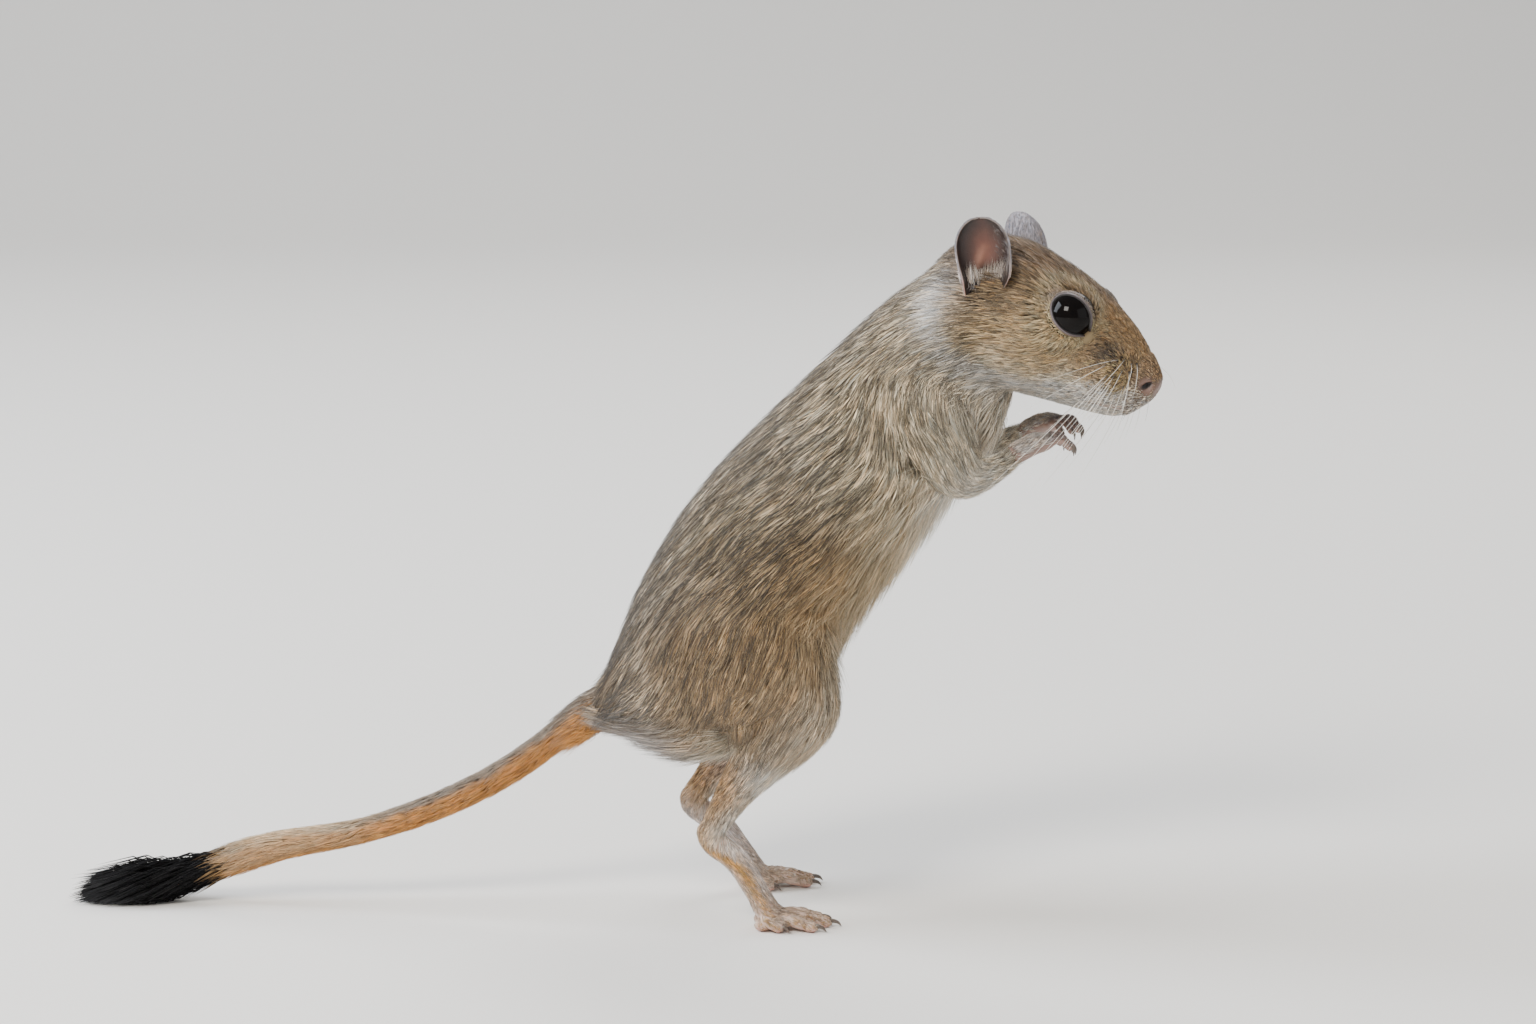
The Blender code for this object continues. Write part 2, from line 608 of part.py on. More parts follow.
def ear_surface(rows, columns):
    """The left ear's sheet in the head's frame: an oval that narrows to its stem, its sides bent forwards."""
    tipward, facing, sideways = ear_axes()
    below, above = EAR_WIDEST * EAR_LENGTH, (1 - EAR_WIDEST) * EAR_LENGTH
    lowest = -math.asin((below + EAR_BURIED) / (below + EAR_BURIED + 2.0))
    turn = np.linspace(lowest, math.pi / 2, rows)[:, None]
    rise = np.where(turn > 0, above, below + EAR_BURIED + 2.0) * np.sin(turn)
    half = EAR_WIDTH / 2 * np.where(turn > 0, np.cos(turn), np.cos(turn) ** 0.9)
    across = np.linspace(-1, 1, columns)[None, :]
    cup = EAR_DEPTH * (1 - 0.45 * rise / above) * (across**2 - 0.35) * half / (EAR_WIDTH / 2)
    return (
        np.array(EAR_NOTCH)
        + (below + rise)[..., None] * tipward
        + (half * np.sin(across * math.pi / 2))[..., None] * sideways
        + cup[..., None] * facing
    )


def make_ear(side, word, head):
    """A cupped sheet with a wall, its root cut to the head's surface."""
    rows, columns = 11, 10
    points = ear_surface(rows, columns) * (1, side, 1)
    i, j = np.meshgrid(np.arange(rows - 1), np.arange(columns - 1), indexing="ij")
    a = i * columns + j
    quads = np.stack([a, a + 1, a + columns + 1, a + columns], axis=-1).reshape(-1, 4).tolist()
    ear = mesh_object(f"ear_{word}", from_head(points.reshape(-1, 3)), quads)
    tip = ear.modifiers.new("tip", "WELD")
    tip.merge_threshold = 0.02 * MM
    wall = ear.modifiers.new("wall", "SOLIDIFY")
    wall.thickness = EAR_THICKNESS * MM
    wall.offset = 0.0
    apply_modifiers(ear)
    boolean(ear, [grown(head, GAP)], "DIFFERENCE")
    return keep_largest(ear)


def make_foot(word, ankle_rows, ball, turn):
    """A hind foot: instep, heel, five toes and their claws as one piece, flat where it meets the floor."""
    ankle, below = np.array(ankle_rows[-2]), np.array(ankle_rows[-1])
    down = unit(below[:3] - ankle[:3])
    start = ankle[:3] + down * GAP / 2
    ball = np.array(ball)
    angle = math.radians(turn)
    forward = np.array([math.cos(angle), math.sin(angle), 0.0])
    across = np.array([-math.sin(angle), math.cos(angle), 0.0])
    instep = ball + (0, 0, 2.0)
    rows = [
        (*start, ankle[3], ankle[4]),
        (*(start + down * 1.8), ankle[3] * 0.95, ankle[4]),
        (*(start * 0.62 + instep * 0.38), 2.7, 2.6),
        (*(start * 0.28 + instep * 0.72), 2.3, 2.9),
        (*instep, 2.3, 3.3),
        (*(instep + forward * 2.6 - (0, 0, 0.6)), 1.6, 3.0),
    ]
    foot = loft(f"foot_{word}", rows, 13, 14, across=tuple(across))
    backward = unit(np.cross(across, down))
    backward = backward * (-1 if backward @ forward > 0 else 1)
    heel_place = start + backward * (HEEL_REACH - 1.6) + down * 1.4
    pieces = [ellipsoid("heel", heel_place, (3.0, 1.7, 2.4), along=backward - down * 0.2, segments=12)]
    outward = -1 if word == "right" else 1
    for sideways, behind, spread, length in TOES:
        way = math.radians(turn + spread * outward)
        ahead = np.array([math.cos(way), math.sin(way), 0.0])
        base = ball - forward * behind + across * sideways * outward
        arch = 0.07 * length
        toe = [
            (*(base + (0, 0, 1.7)), TOE_RADIUS, TOE_RADIUS),
            (*(base + ahead * length * 0.45 + (0, 0, 1.5 + arch)), TOE_RADIUS, TOE_RADIUS * 0.95),
            (*(base + ahead * length * 0.80 + (0, 0, 1.0 + arch * 0.3)), TOE_RADIUS * 0.92, TOE_RADIUS * 0.9),
            (*(base + ahead * length + (0, 0, TOE_TIP_RADIUS - 0.3)), TOE_TIP_RADIUS, TOE_TIP_RADIUS),
        ]
        claw_length = HIND_CLAW * (1.0 if length > 5 else 0.75)
        claw = [
            (*(base + ahead * (length - 0.8) + (0, 0, 1.0)), 0.6, 0.5),
            (*(base + ahead * (length + claw_length * 0.5) + (0, 0, 0.85)), 0.45, 0.38),
            (*(base + ahead * (length + claw_length) + (0, 0, 0.12)), 0.18, 0.16),
        ]
        flat_across = tuple(np.cross((0, 0, 1), ahead))
        pieces.append(loft("toe", toe, 6, 7, across=flat_across))
        pieces.append(loft("claw", claw, 4, 5, across=flat_across))
    boolean(foot, pieces, "UNION")
    thinned(foot, 0.5)
    above = disc("above_ankle", start - down * 5.0, down, 8.0, thickness=10.0)
    boolean(foot, [floor_cutter(), above], "DIFFERENCE")
    return keep_largest(foot)


def make_hand(word, arm_rows):
    """A forepaw: palm, four digits bent down over an edge, and their claws."""
    wrist, beyond = np.array(arm_rows[-2]), np.array(arm_rows[-1])
    ahead = unit(beyond[:3] - wrist[:3])
    across = unit(np.cross((0, 0, 1), ahead))
    upward = np.cross(ahead, across)
    start = wrist[:3] + ahead * GAP / 2
    knuckles = start + ahead * PALM_LENGTH - upward * 0.5
    rows = [
        (*start, wrist[3], wrist[4]),
        (*(start + ahead * PALM_LENGTH * 0.5 + upward * 0.1), 1.9, 2.5),
        (*knuckles, 1.35, 2.6),
        (*(knuckles + ahead * 0.8 - upward * 0.3), 0.8, 2.0),
    ]
    hand = loft(f"hand_{word}", rows, 8, 12, across=tuple(across))
    outward = -1 if word == "right" else 1
    pieces = []
    for sideways, spread, length in DIGITS:
        way = math.radians(spread * outward)
        out = ahead * math.cos(way) + across * math.sin(way)
        base = knuckles + across * sideways * outward
        bend = base + out * length * 0.55 - upward * 0.1
        tip = bend + out * length * 0.25 - upward * length * 0.55
        digit = [
            (*(base - out * 0.8), DIGIT_RADIUS, DIGIT_RADIUS),
            (*bend, DIGIT_RADIUS, DIGIT_RADIUS),
            (*tip, DIGIT_RADIUS * 0.85, DIGIT_RADIUS * 0.85),
        ]
        claw = [
            (*(tip + upward * 0.5), 0.42, 0.36),
            (*(tip - upward * FORE_CLAW * 0.5 + out * 0.25), 0.36, 0.3),
            (*(tip - upward * FORE_CLAW * 1.2), 0.16, 0.14),
        ]
        pieces.append(loft("digit", digit, 5, 6, across=tuple(across)))
        pieces.append(loft("claw", claw, 3, 5, across=tuple(across)))
    boolean(hand, pieces, "UNION")
    thinned(hand, 0.56)
    boolean(hand, [disc("above_wrist", start - ahead * 3.0, ahead, 5.0, thickness=6.0)], "DIFFERENCE")
    return keep_largest(hand)


def lock_mesh(name, path, width, thickness, flat_normal):
    """One flat tapered lock: a four-sided blade along the path that narrows to its tip."""
    path = np.array(path)
    steps = len(path)
    share = np.linspace(0, 1, steps)
    along = unit(np.gradient(path, axis=0))
    face = unit(flat_normal - (along @ flat_normal)[:, None] * along)
    side = np.cross(along, face)
    half = (width / 2 * (1 - share**1.7) + 0.22)[:, None]
    thick = (thickness / 2 * (1 - share * 0.55))[:, None]
    rings = np.stack([path + side * half, path + face * thick, path - side * half, path - face * thick], axis=1)
    return mesh_object(name, rings.reshape(-1, 3), ring_faces(steps, 4))


def make_brush():
    """The tail's brush: a thin core and rings of locks that overlap towards the tip."""
    draw = np.random.default_rng(SEED)
    core = loft("tail_brush", BRUSH_CORE, 12, 14)
    samples = spline(BRUSH_CORE, 60)
    locks = []
    for ring in range(BRUSH_RINGS):
        share = ring / (BRUSH_RINGS - 1)
        place = samples[int(4 + share * 50)]
        ahead = unit(samples[min(59, int(8 + share * 50))][:3] - samples[int(share * 50)][:3])
        side = unit(np.cross(ahead, (0, 0, 1)))
        up = np.cross(side, ahead)
        count = BRUSH_LOCKS if ring < BRUSH_RINGS - 2 else BRUSH_LOCKS - 2
        for k in range(count):
            turn = 2 * math.pi * (k + 0.5 * (ring % 2)) / count + draw.uniform(-0.12, 0.12)
            out = side * math.cos(turn) + up * math.sin(turn)
            length = LOCK_LENGTH * draw.uniform(0.85, 1.12) * (1 - 0.22 * share)
            splay = math.radians(LOCK_SPLAY * (1 - 0.55 * share) * draw.uniform(0.75, 1.15))
            root = place[:3] + out * (place[3] - 0.75)
            reach = np.linspace(0, 1, 4)[:, None] * length
            lift = np.sin(splay) * reach * (1.15 - 0.35 * reach / length)
            path = root + ahead * reach * math.cos(splay) + out * lift
            path[:, 2] = np.maximum(path[:, 2], 0.12)
            locks.append(lock_mesh("lock", path, LOCK_WIDTH * draw.uniform(0.85, 1.15), LOCK_THICKNESS, out))
    boolean(core, locks, "UNION")
    boolean(core, [floor_cutter()], "DIFFERENCE")
    (centre, normal, _) = CUTS[-1]
    before = np.array(centre) + unit(normal) * (10.0 - GAP / 2)
    boolean(core, [disc("before_brush", before, normal, 12.0, thickness=20.0)], "DIFFERENCE")
    return keep_largest(core)


def material(name, colour, roughness):
    """A plain finish for one node."""
    made = bpy.data.materials.new(name)
    made.use_nodes = True
    shader = made.node_tree.nodes["Principled BSDF"]
    shader.inputs["Base Color"].default_value = (*colour, 1.0)
    shader.inputs["Roughness"].default_value = roughness
    return made


def finish_of(name):
    """The colour and roughness that a node's name calls for."""
    if name.startswith("eye"):
        return BLACK, 0.08
    if name.startswith("tail_brush"):
        return BLACK, 0.7
    if name.startswith(("foot", "hand", "ear")):
        return SKIN, 0.6
    return (BELLY if name.startswith(("shank", "forearm")) else COAT), 0.8


def gather(nodes):
    """Puts the nodes in one collection, each with its finish, centred over the origin of the floor."""
    home = bpy.data.collections.new("gerbil")
    bpy.context.scene.collection.children.link(home)
    corners = np.array([v.co for node in nodes for v in node.data.vertices])
    low, high = corners.min(axis=0), corners.max(axis=0)
    middle = Vector(((low[0] + high[0]) / 2, (low[1] + high[1]) / 2, 0.0))
    for node in nodes:
        node.data.transform(Matrix.Translation(-middle))
        node.data.materials.clear()
        node.data.materials.append(material(node.name + "_finish", *finish_of(node.name)))
        node.data.shade_smooth()
        node.data.set_sharp_from_angle(angle=0.8)
        for collection in list(node.users_collection):
            collection.objects.unlink(node)
        home.objects.link(node)
    print("origin", [round(c / MM, 3) for c in middle])


def main():
    for obj in list(bpy.data.objects):
        bpy.data.objects.remove(obj)
    hind_left = mirrored(HIND_LEG, *LEFT_HIND_SHIFT)
    fore_left = mirrored(FORELEG, *LEFT_FORE_SHIFT)
    nodes = part_body(fused_body(hind_left, fore_left), hind_left, fore_left)
    head = make_head()
    nodes.append(head)
    for side, word in ((-1, "right"), (1, "left")):
        nodes.append(make_eye(side, word))
        nodes.append(make_ear(side, word, head))
    nodes.append(make_foot("right", HIND_LEG, BALL_RIGHT, FOOT_TURN_RIGHT))
    nodes.append(make_foot("left", hind_left, BALL_LEFT, FOOT_TURN_LEFT))
    nodes.append(make_hand("right", FORELEG))
    nodes.append(make_hand("left", fore_left))
    nodes.append(make_brush())
    gather(nodes)


main()
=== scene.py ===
"""Gerbil that stands upright on its hind feet, life-size, as a museum's still model shows it.

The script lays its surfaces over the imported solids. Tables are millimetres in the animal's own frame, in which it
faces +X, its left is +Y and the floor is z = 0. ORIGIN and MM turn them into the frame's metres.
"""

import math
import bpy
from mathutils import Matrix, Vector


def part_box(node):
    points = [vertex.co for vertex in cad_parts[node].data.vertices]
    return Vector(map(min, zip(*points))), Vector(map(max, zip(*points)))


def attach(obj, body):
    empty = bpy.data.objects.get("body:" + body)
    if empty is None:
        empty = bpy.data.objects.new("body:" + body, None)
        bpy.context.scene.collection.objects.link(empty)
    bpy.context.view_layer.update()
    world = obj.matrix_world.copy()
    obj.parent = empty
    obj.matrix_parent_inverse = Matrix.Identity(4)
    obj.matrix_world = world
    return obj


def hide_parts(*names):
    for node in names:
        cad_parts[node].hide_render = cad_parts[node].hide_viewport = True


bl_info = {
    "name": "Standing Gerbil",
    "version": (1, 0, 0),
    "blender": (4, 5, 0),
    "location": "View3D > Sidebar > Gerbil",
    "description": "Builds the skin, eyes, ears, paws, coat and whiskers of a life-size gerbil",
    "category": "Add Mesh",
}

import bpy
import numpy as np
from bpy.props import FloatProperty, FloatVectorProperty, IntProperty, PointerProperty
from mathutils import Matrix, Vector
from mathutils.bvhtree import BVHTree
from mathutils.kdtree import KDTree

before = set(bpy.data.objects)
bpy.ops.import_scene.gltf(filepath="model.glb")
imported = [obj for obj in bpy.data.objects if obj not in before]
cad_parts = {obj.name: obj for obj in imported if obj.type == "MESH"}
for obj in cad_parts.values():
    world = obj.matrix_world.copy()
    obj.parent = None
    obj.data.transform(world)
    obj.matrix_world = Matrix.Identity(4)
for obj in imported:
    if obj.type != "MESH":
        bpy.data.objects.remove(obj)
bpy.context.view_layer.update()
MM = 0.001
SEED = 11
# Nothing that lies by the floor comes closer to it than this, in millimetres.
FLOOR_GAP = 0.03

# Trunk from the tail's root to inside the head: back x, back z, belly x, belly z, y of the middle, half width.
TRUNK = (
    (-40.2, 37.6, -37.8, 33.8, 0.0, 2.6),
    (-36.4, 41.0, -33.6, 33.4, 0.0, 6.4),
    (-33.2, 46.8, -28.0, 32.2, 0.0, 11.8),
    (-31.0, 53.2, -21.0, 30.2, 0.0, 16.2),
    (-28.4, 59.8, -12.4, 31.2, 0.0, 18.9),
    (-25.2, 66.2, -3.6, 37.6, 0.0, 19.9),
    (-20.6, 73.8, 4.0, 47.5, 0.0, 19.7),
    (-15.2, 80.9, 9.8, 56.4, 0.0, 18.5),
    (-8.3, 88.3, 15.1, 62.8, 0.0, 16.8),
    (-1.6, 95.0, 20.7, 70.1, 0.0, 15.0),
    (5.4, 102.0, 25.5, 77.1, 0.0, 13.4),
    (12.3, 108.8, 30.8, 83.6, -0.2, 12.3),
    (18.9, 114.6, 34.9, 89.8, -0.6, 11.4),
    (25.4, 118.4, 38.0, 95.6, -1.3, 10.7),
    (31.0, 118.6, 39.5, 102.0, -2.4, 8.8),
)
# Hind leg of the right side from the hip to below the ankle: x, y, z, half depth, half width.
HIND_LEG = (
    (-16.0, -6.5, 57.0, 8.0, 6.0),
    (-12.0, -10.4, 52.0, 14.0, 10.2),
    (-5.6, -13.0, 45.6, 12.6, 9.2),
    (-1.6, -13.6, 40.0, 8.6, 7.0),
    (-5.4, -13.7, 33.4, 6.0, 5.0),
    (-9.6, -13.7, 28.0, 4.7, 3.8),
    (-13.0, -13.6, 22.8, 3.7, 2.9),
    (-15.4, -13.5, 18.6, 3.1, 2.7),
    (-16.4, -13.5, 16.6, 2.8, 2.5),
)
# Foreleg of the right side from the shoulder to past the wrist: x, y, z, half depth, half width.
FORELEG = (
    (15.0, -6.0, 99.0, 5.0, 4.0),
    (19.0, -8.6, 95.0, 8.0, 5.4),
    (24.4, -11.8, 88.2, 6.4, 4.6),
    (28.4, -14.0, 81.8, 4.0, 3.7),
    (34.0, -12.8, 83.4, 2.8, 2.8),
    (39.0, -11.0, 86.2, 2.0, 2.2),
    (40.8, -10.6, 87.0, 1.8, 2.1),
)
# Each left leg's joints stand away from the mirrored table by this much at its first and at its last row.
LEFT_HIND_SHIFT = ((0.0, 0.0, 0.0), (-4.6, 0.3, -0.4))
LEFT_FORE_SHIFT = ((0.6, 0.0, 0.0), (4.4, -6.2, 2.1))
# Tail from inside the rump to its end inside the brush: x, y, z, half depth, half width.
TAIL = (
    (-30.0, 0.0, 40.6, 3.8, 3.8),
    (-36.6, 0.0, 37.3, 3.6, 3.6),
    (-43.0, 0.1, 32.8, 3.1, 3.1),
    (-53.9, 0.5, 25.0, 3.0, 3.0),
    (-67.5, 1.2, 18.2, 2.9, 2.9),
    (-81.2, 2.0, 13.6, 2.75, 2.8),
    (-94.8, 3.0, 10.9, 3.0, 3.0),
    (-103.5, 3.6, 8.3, 2.9, 2.9),
    (-107.0, 3.9, 7.0, 2.6, 2.6),
    (-112.0, 4.2, 5.4, 1.9, 1.9),
    (-119.0, 4.6, 3.6, 1.3, 1.4),
    (-126.5, 5.0, 2.3, 0.9, 0.9),
)
# Head, in its own frame: the nose tip is its origin, x runs forward along the muzzle, y to the left and z up.
NOSE_TIP = (63.2, -15.0, 98.8)
HEAD_YAW, HEAD_PITCH, HEAD_ROLL = -24.0, 22.0, -3.0
# Distance behind the nose tip, crown height, chin height, half width, height of the widest line.
HEAD = (
    (0.0, 0.5, -1.9, 0.9, -0.8),
    (-0.5, 1.5, -3.4, 1.9, -1.2),
    (-1.6, 2.7, -5.2, 3.0, -1.7),
    (-3.5, 4.2, -7.4, 4.3, -2.0),
    (-7.5, 7.0, -9.6, 6.3, -2.2),
    (-13.0, 9.6, -10.8, 8.0, -1.8),
    (-18.5, 11.4, -11.8, 9.4, -1.6),
    (-25.0, 12.8, -12.8, 10.3, -2.4),
    (-32.0, 13.2, -13.6, 10.4, -3.0),
    (-38.0, 11.8, -14.0, 9.7, -2.6),
    (-43.0, 8.2, -11.5, 7.8, -2.0),
    (-45.5, 3.0, -6.0, 4.0, -2.0),
)
# Swellings of the head on both sides: x, y, z of the middle, reach, height.
SWELLINGS = (
    (-7.5, 6.2, -3.2, 3.6, 0.9),
    (-18.3, 8.6, 5.3, 6.0, 1.1),
    (-20.0, 7.6, 11.2, 4.2, 0.5),
    (-25.0, 10.0, -6.5, 7.0, 1.0),
    (-4.5, 0.0, -8.6, 2.2, 0.5),
)
EYE_CENTRE = (-18.3, 6.1, 5.3)
EYE_RADIUS = 4.4
EYE_OUTWARD = (0.26, 0.93, 0.26)
# The eye slit's half length and half height, and how far its front corner is drawn out.
LID_OPENING = (3.7, 2.4)
CANTHUS_REACH = 1.3
NOSTRIL = (-1.7, 2.5, -0.9)
# Middle of the left whisker pad, and the lower border of the golden cheek as distance behind the nose tip and height.
WHISKER_PAD = (-6.8, 5.5, 0.6)
CHEEK_BORDER = (
    (0.0, -2.4), (6.0, -3.8), (10.0, -3.6), (14.0, -5.4), (19.0, -7.0), (24.0, -8.1), (28.0, -7.4), (34.0, -4.2),
    (40.0, 0.5),
)
# Line of the mouth on the left side from the middle of the lip, in the head's frame.
MOUTH = ((-2.6, 0.0, -6.5), (-3.7, 2.7, -6.4), (-6.6, 4.4, -6.8), (-9.6, 5.6, -7.3))
# Left ear, in the head's frame: its notch, the direction of its tip, the way that it faces, its sizes.
EAR_NOTCH = (-33.0, 9.9, 2.2)
EAR_TIPWARD = (-7.0, 0.3, 13.6)
EAR_FACING = (0.45, 0.87, 0.20)
EAR_LENGTH, EAR_WIDTH, EAR_THICKNESS, EAR_DEPTH = 14.2, 9.6, 0.45, 2.8
EAR_WIDEST, EAR_BURIED = 0.62, 3.0
# Hind feet: middle of the ball on the floor and how far the foot points outwards, in degrees.
BALL_RIGHT, BALL_LEFT = (-4.8, -13.8, 0.0), (-7.2, 14.6, 0.0)
FOOT_TURN_RIGHT, FOOT_TURN_LEFT = 2.0, 16.0
# Toes from the inner to the outer: place across the ball, distance behind it, spread outwards in degrees, length.
TOES = (
    (-2.4, 2.2, -24.0, 3.8),
    (-1.6, 0.2, -9.0, 9.2),
    (0.0, 0.0, 1.0, 10.2),
    (1.6, 0.5, 15.0, 8.2),
    (2.4, 2.2, 24.0, 3.8),
)
TOE_RADIUS, TOE_TIP_RADIUS = 1.3, 0.85
HIND_CLAW = 2.0
HEEL_REACH = 3.4
# Hand: digits as sideways place at the knuckles, spread in degrees, length.
DIGITS = ((-1.9, -22.0, 3.6), (-0.65, -7.0, 4.4), (0.65, 6.0, 4.4), (1.9, 20.0, 3.6))
DIGIT_RADIUS = 0.72
FORE_CLAW = 1.3
PALM_LENGTH = 5.0

# What one operator leaves for the next: surfaces and fields as numpy arrays in millimetres.
BUILT = {}


def unit(v):
    """The rows of v, or v itself, scaled to length one."""
    v = np.asarray(v, float)
    return v / np.maximum(np.linalg.norm(v, axis=-1, keepdims=True), 1e-9)


def ease(low, high, x):
    """0 below low, 1 above high, and the smooth cubic 3t^2 - 2t^3 between them."""
    t = np.clip((np.asarray(x, float) - low) / (high - low), 0, 1)
    return t * t * (3 - 2 * t)


def ripple(points, size, seed, waves=7):
    """Smooth noise from -1 to 1: the mean of plane sine waves about size mm long in random directions, times 1.6."""
    draw = np.random.default_rng(seed)
    way = unit(draw.normal(size=(waves, 3))) * (2 * np.pi / size) * draw.uniform(0.6, 1.5, (waves, 1))
    return np.clip(np.sin(points @ way.T + draw.uniform(0, 6.28, waves)).mean(axis=1) * 1.6, -1, 1)


def linear(code):
    """An sRGB hex colour as three linear numbers."""
    value = np.array([int(code[i : i + 2], 16) for i in (0, 2, 4)]) / 255
    return np.where(value <= 0.04045, value / 12.92, ((value + 0.055) / 1.055) ** 2.4)


def spline(rows, count):
    """count samples, evenly spaced along the curve, of the smooth cubic through the rows of a table."""
    rows = np.array(rows, float)
    steps = np.linalg.norm(np.diff(rows[:, :3], axis=0), axis=1)
    knots = np.concatenate([[0.0], np.cumsum(steps)])
    slopes = np.gradient(rows, knots, axis=0)
    at = np.linspace(0.0, knots[-1], count)
    k = np.clip(np.searchsorted(knots, at, side="right") - 1, 0, len(knots) - 2)
    span = (knots[k + 1] - knots[k])[:, None]
    t = (at - knots[k])[:, None] / span
    start = (1 + 2 * t) * (1 - t) ** 2 * rows[k] + t * (1 - t) ** 2 * span * slopes[k]
    end = t * t * (3 - 2 * t) * rows[k + 1] - t * t * (1 - t) * span * slopes[k + 1]
    return start + end


def mirrored(rows, first_shift, last_shift):
    """A right-hand table taken to the left side, its rows shifted by a share that grows as the square of the way."""
    rows = np.array(rows, float)
    rows[:, 1] *= -1
    share = np.linspace(0, 1, len(rows))[:, None] ** 2
    rows[:, :3] += (1 - share) * np.array(first_shift) + share * np.array(last_shift)
    return rows


def head_axes():
    """The head's forward, left and up directions as the columns of a matrix."""
    yaw, pitch, roll = (math.radians(a) for a in (HEAD_YAW, HEAD_PITCH, HEAD_ROLL))
    return np.array(Matrix.Rotation(yaw, 3, "Z") @ Matrix.Rotation(pitch, 3, "Y") @ Matrix.Rotation(roll, 3, "X"))


AXES = head_axes()


def from_head(points):
    """Points of the head's frame, in the animal's frame."""
    return np.asarray(points, float) @ AXES.T + np.array(NOSE_TIP)


def to_head(points):
    """Points of the animal's frame, in the head's frame."""
    return (np.asarray(points, float) - np.array(NOSE_TIP)) @ AXES


def on_side(point, side):
    """A point or direction given for the left, on the side +1 for left or -1 for right."""
    return np.array(point, float) * (1.0, side, 1.0)


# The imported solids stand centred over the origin. The right eye's middle gives how far the tables lie from there.
ORIGIN = from_head(on_side(EYE_CENTRE, -1)) - np.mean([np.array(c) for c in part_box("eye_right")], axis=0) / MM


def ring_faces(rings, sides, first=0, wrap=True):
    """The quads of a grid of rings, each ring closed if wrap is true."""
    i, j = np.meshgrid(np.arange(rings - 1), np.arange(sides if wrap else sides - 1), indexing="ij")
    a, b = i * sides + j, i * sides + (j + 1) % sides
    return (first + np.stack([a, b, b + sides, a + sides], axis=-1)).reshape(-1, 4)


def facing_out(points, faces):
    """The quads of a closed shape, turned round if the volume that they enclose comes out negative."""
    tri = np.concatenate([faces[:, :3], faces[:, [0, 2, 3]]])
    volume = (np.cross(points[tri[:, 0]], points[tri[:, 1]]) * points[tri[:, 2]]).sum()
    return faces[:, ::-1] if volume < 0 else faces


def closed_tube(grid):
    """Points and faces of a grid of rings whose ends close in a fan to the end ring's middle. A fan's triangle is a
    quad whose last corner is its first again until the faces have been turned outwards."""
    rings, sides = grid.shape[:2]
    points = np.concatenate([grid.reshape(-1, 3), [grid[0].mean(axis=0), grid[-1].mean(axis=0)]])
    j = np.arange(sides)
    k = (j + 1) % sides
    last, near = (rings - 1) * sides, np.full(sides, rings * sides)
    fans = np.concatenate([np.stack([k, j, near, k], axis=1), np.stack([last + j, last + k, near + 1, last + j], axis=1)])
    faces = facing_out(points, np.concatenate([ring_faces(rings, sides), fans])).tolist()
    return points, faces[: -2 * sides] + [face[:3] if face[0] == face[3] else face for face in faces[-2 * sides :]]


def gathered(parts):
    """Several (points, faces) pairs as one pair."""
    points, faces, first = [], [], 0
    for these, those in parts:
        points.append(these)
        faces += [[first + v for v in face] for face in those]
        first += len(these)
    return np.concatenate(points), faces


def piece(name, points, faces, material=None, slot=None, replaces=()):
    """A smooth-shaded object from points in millimetres, which rides on the animal's body."""
    mesh = bpy.data.meshes.new(name)
    mesh.from_pydata(((np.asarray(points) - ORIGIN) * MM).tolist(), [], [list(f) for f in faces])
    mesh.validate()
    mesh.shade_smooth()
    obj = bpy.data.objects.new(name, mesh)
    bpy.context.scene.collection.objects.link(obj)
    if material:
        mesh.materials.append(material)
        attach(obj, "root")
    if replaces:
        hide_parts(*replaces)
    return obj


def coordinates(mesh):
    """A mesh's vertices as millimetres in the animal's frame."""
    flat = np.empty(len(mesh.vertices) * 3)
    mesh.vertices.foreach_get("co", flat)
    return flat.reshape(-1, 3) / MM + ORIGIN


def paint(mesh, colours, name="Coat"):
    """Gives every vertex its linear colour in an attribute that the shaders read."""
    layer = mesh.color_attributes.new(name, "FLOAT_COLOR", "POINT")
    layer.data.foreach_set("color", np.column_stack([colours, np.ones(len(colours))]).astype(np.float32).ravel())


def fused(name, parts, voxel, rounds):
    """Closed tubes that cross become one skin: a voxel remesh, then rounds of moving each vertex to its neighbours'
    middle. The result comes back as points and faces with no object."""
    obj = piece(name, *gathered(parts))
    remesh = obj.modifiers.new("remesh", "REMESH")
    remesh.mode = "VOXEL"
    remesh.voxel_size = voxel * MM
    mesh = bpy.data.meshes.new_from_object(obj.evaluated_get(bpy.context.evaluated_depsgraph_get()))
    points = coordinates(mesh)
    faces = np.empty(len(mesh.loops), np.int64)
    mesh.loops.foreach_get("vertex_index", faces)
    edges = np.empty(len(mesh.edges) * 2, np.int64)
    mesh.edges.foreach_get("vertices", edges)
    points = smoothed(points, edges.reshape(-1, 2), rounds, 0.6)
    size = len(mesh.loops) // len(mesh.polygons)
    bpy.data.objects.remove(obj)
    return points, faces.reshape(-1, size), edges.reshape(-1, 2)


def smoothed(values, edges, rounds, share):
    """Each row of values moves by share towards the mean of its neighbours along the edges, rounds times."""
    values = np.array(values, float)
    a, b = edges.T
    count = np.maximum(np.bincount(a, minlength=len(values)) + np.bincount(b, minlength=len(values)), 1)[:, None]
    for _ in range(rounds):
        total = np.stack(
            [
                np.bincount(a, column[b], len(values)) + np.bincount(b, column[a], len(values))
                for column in values.T
            ],
            axis=1,
        )
        values += (total / count - values) * share
    return values


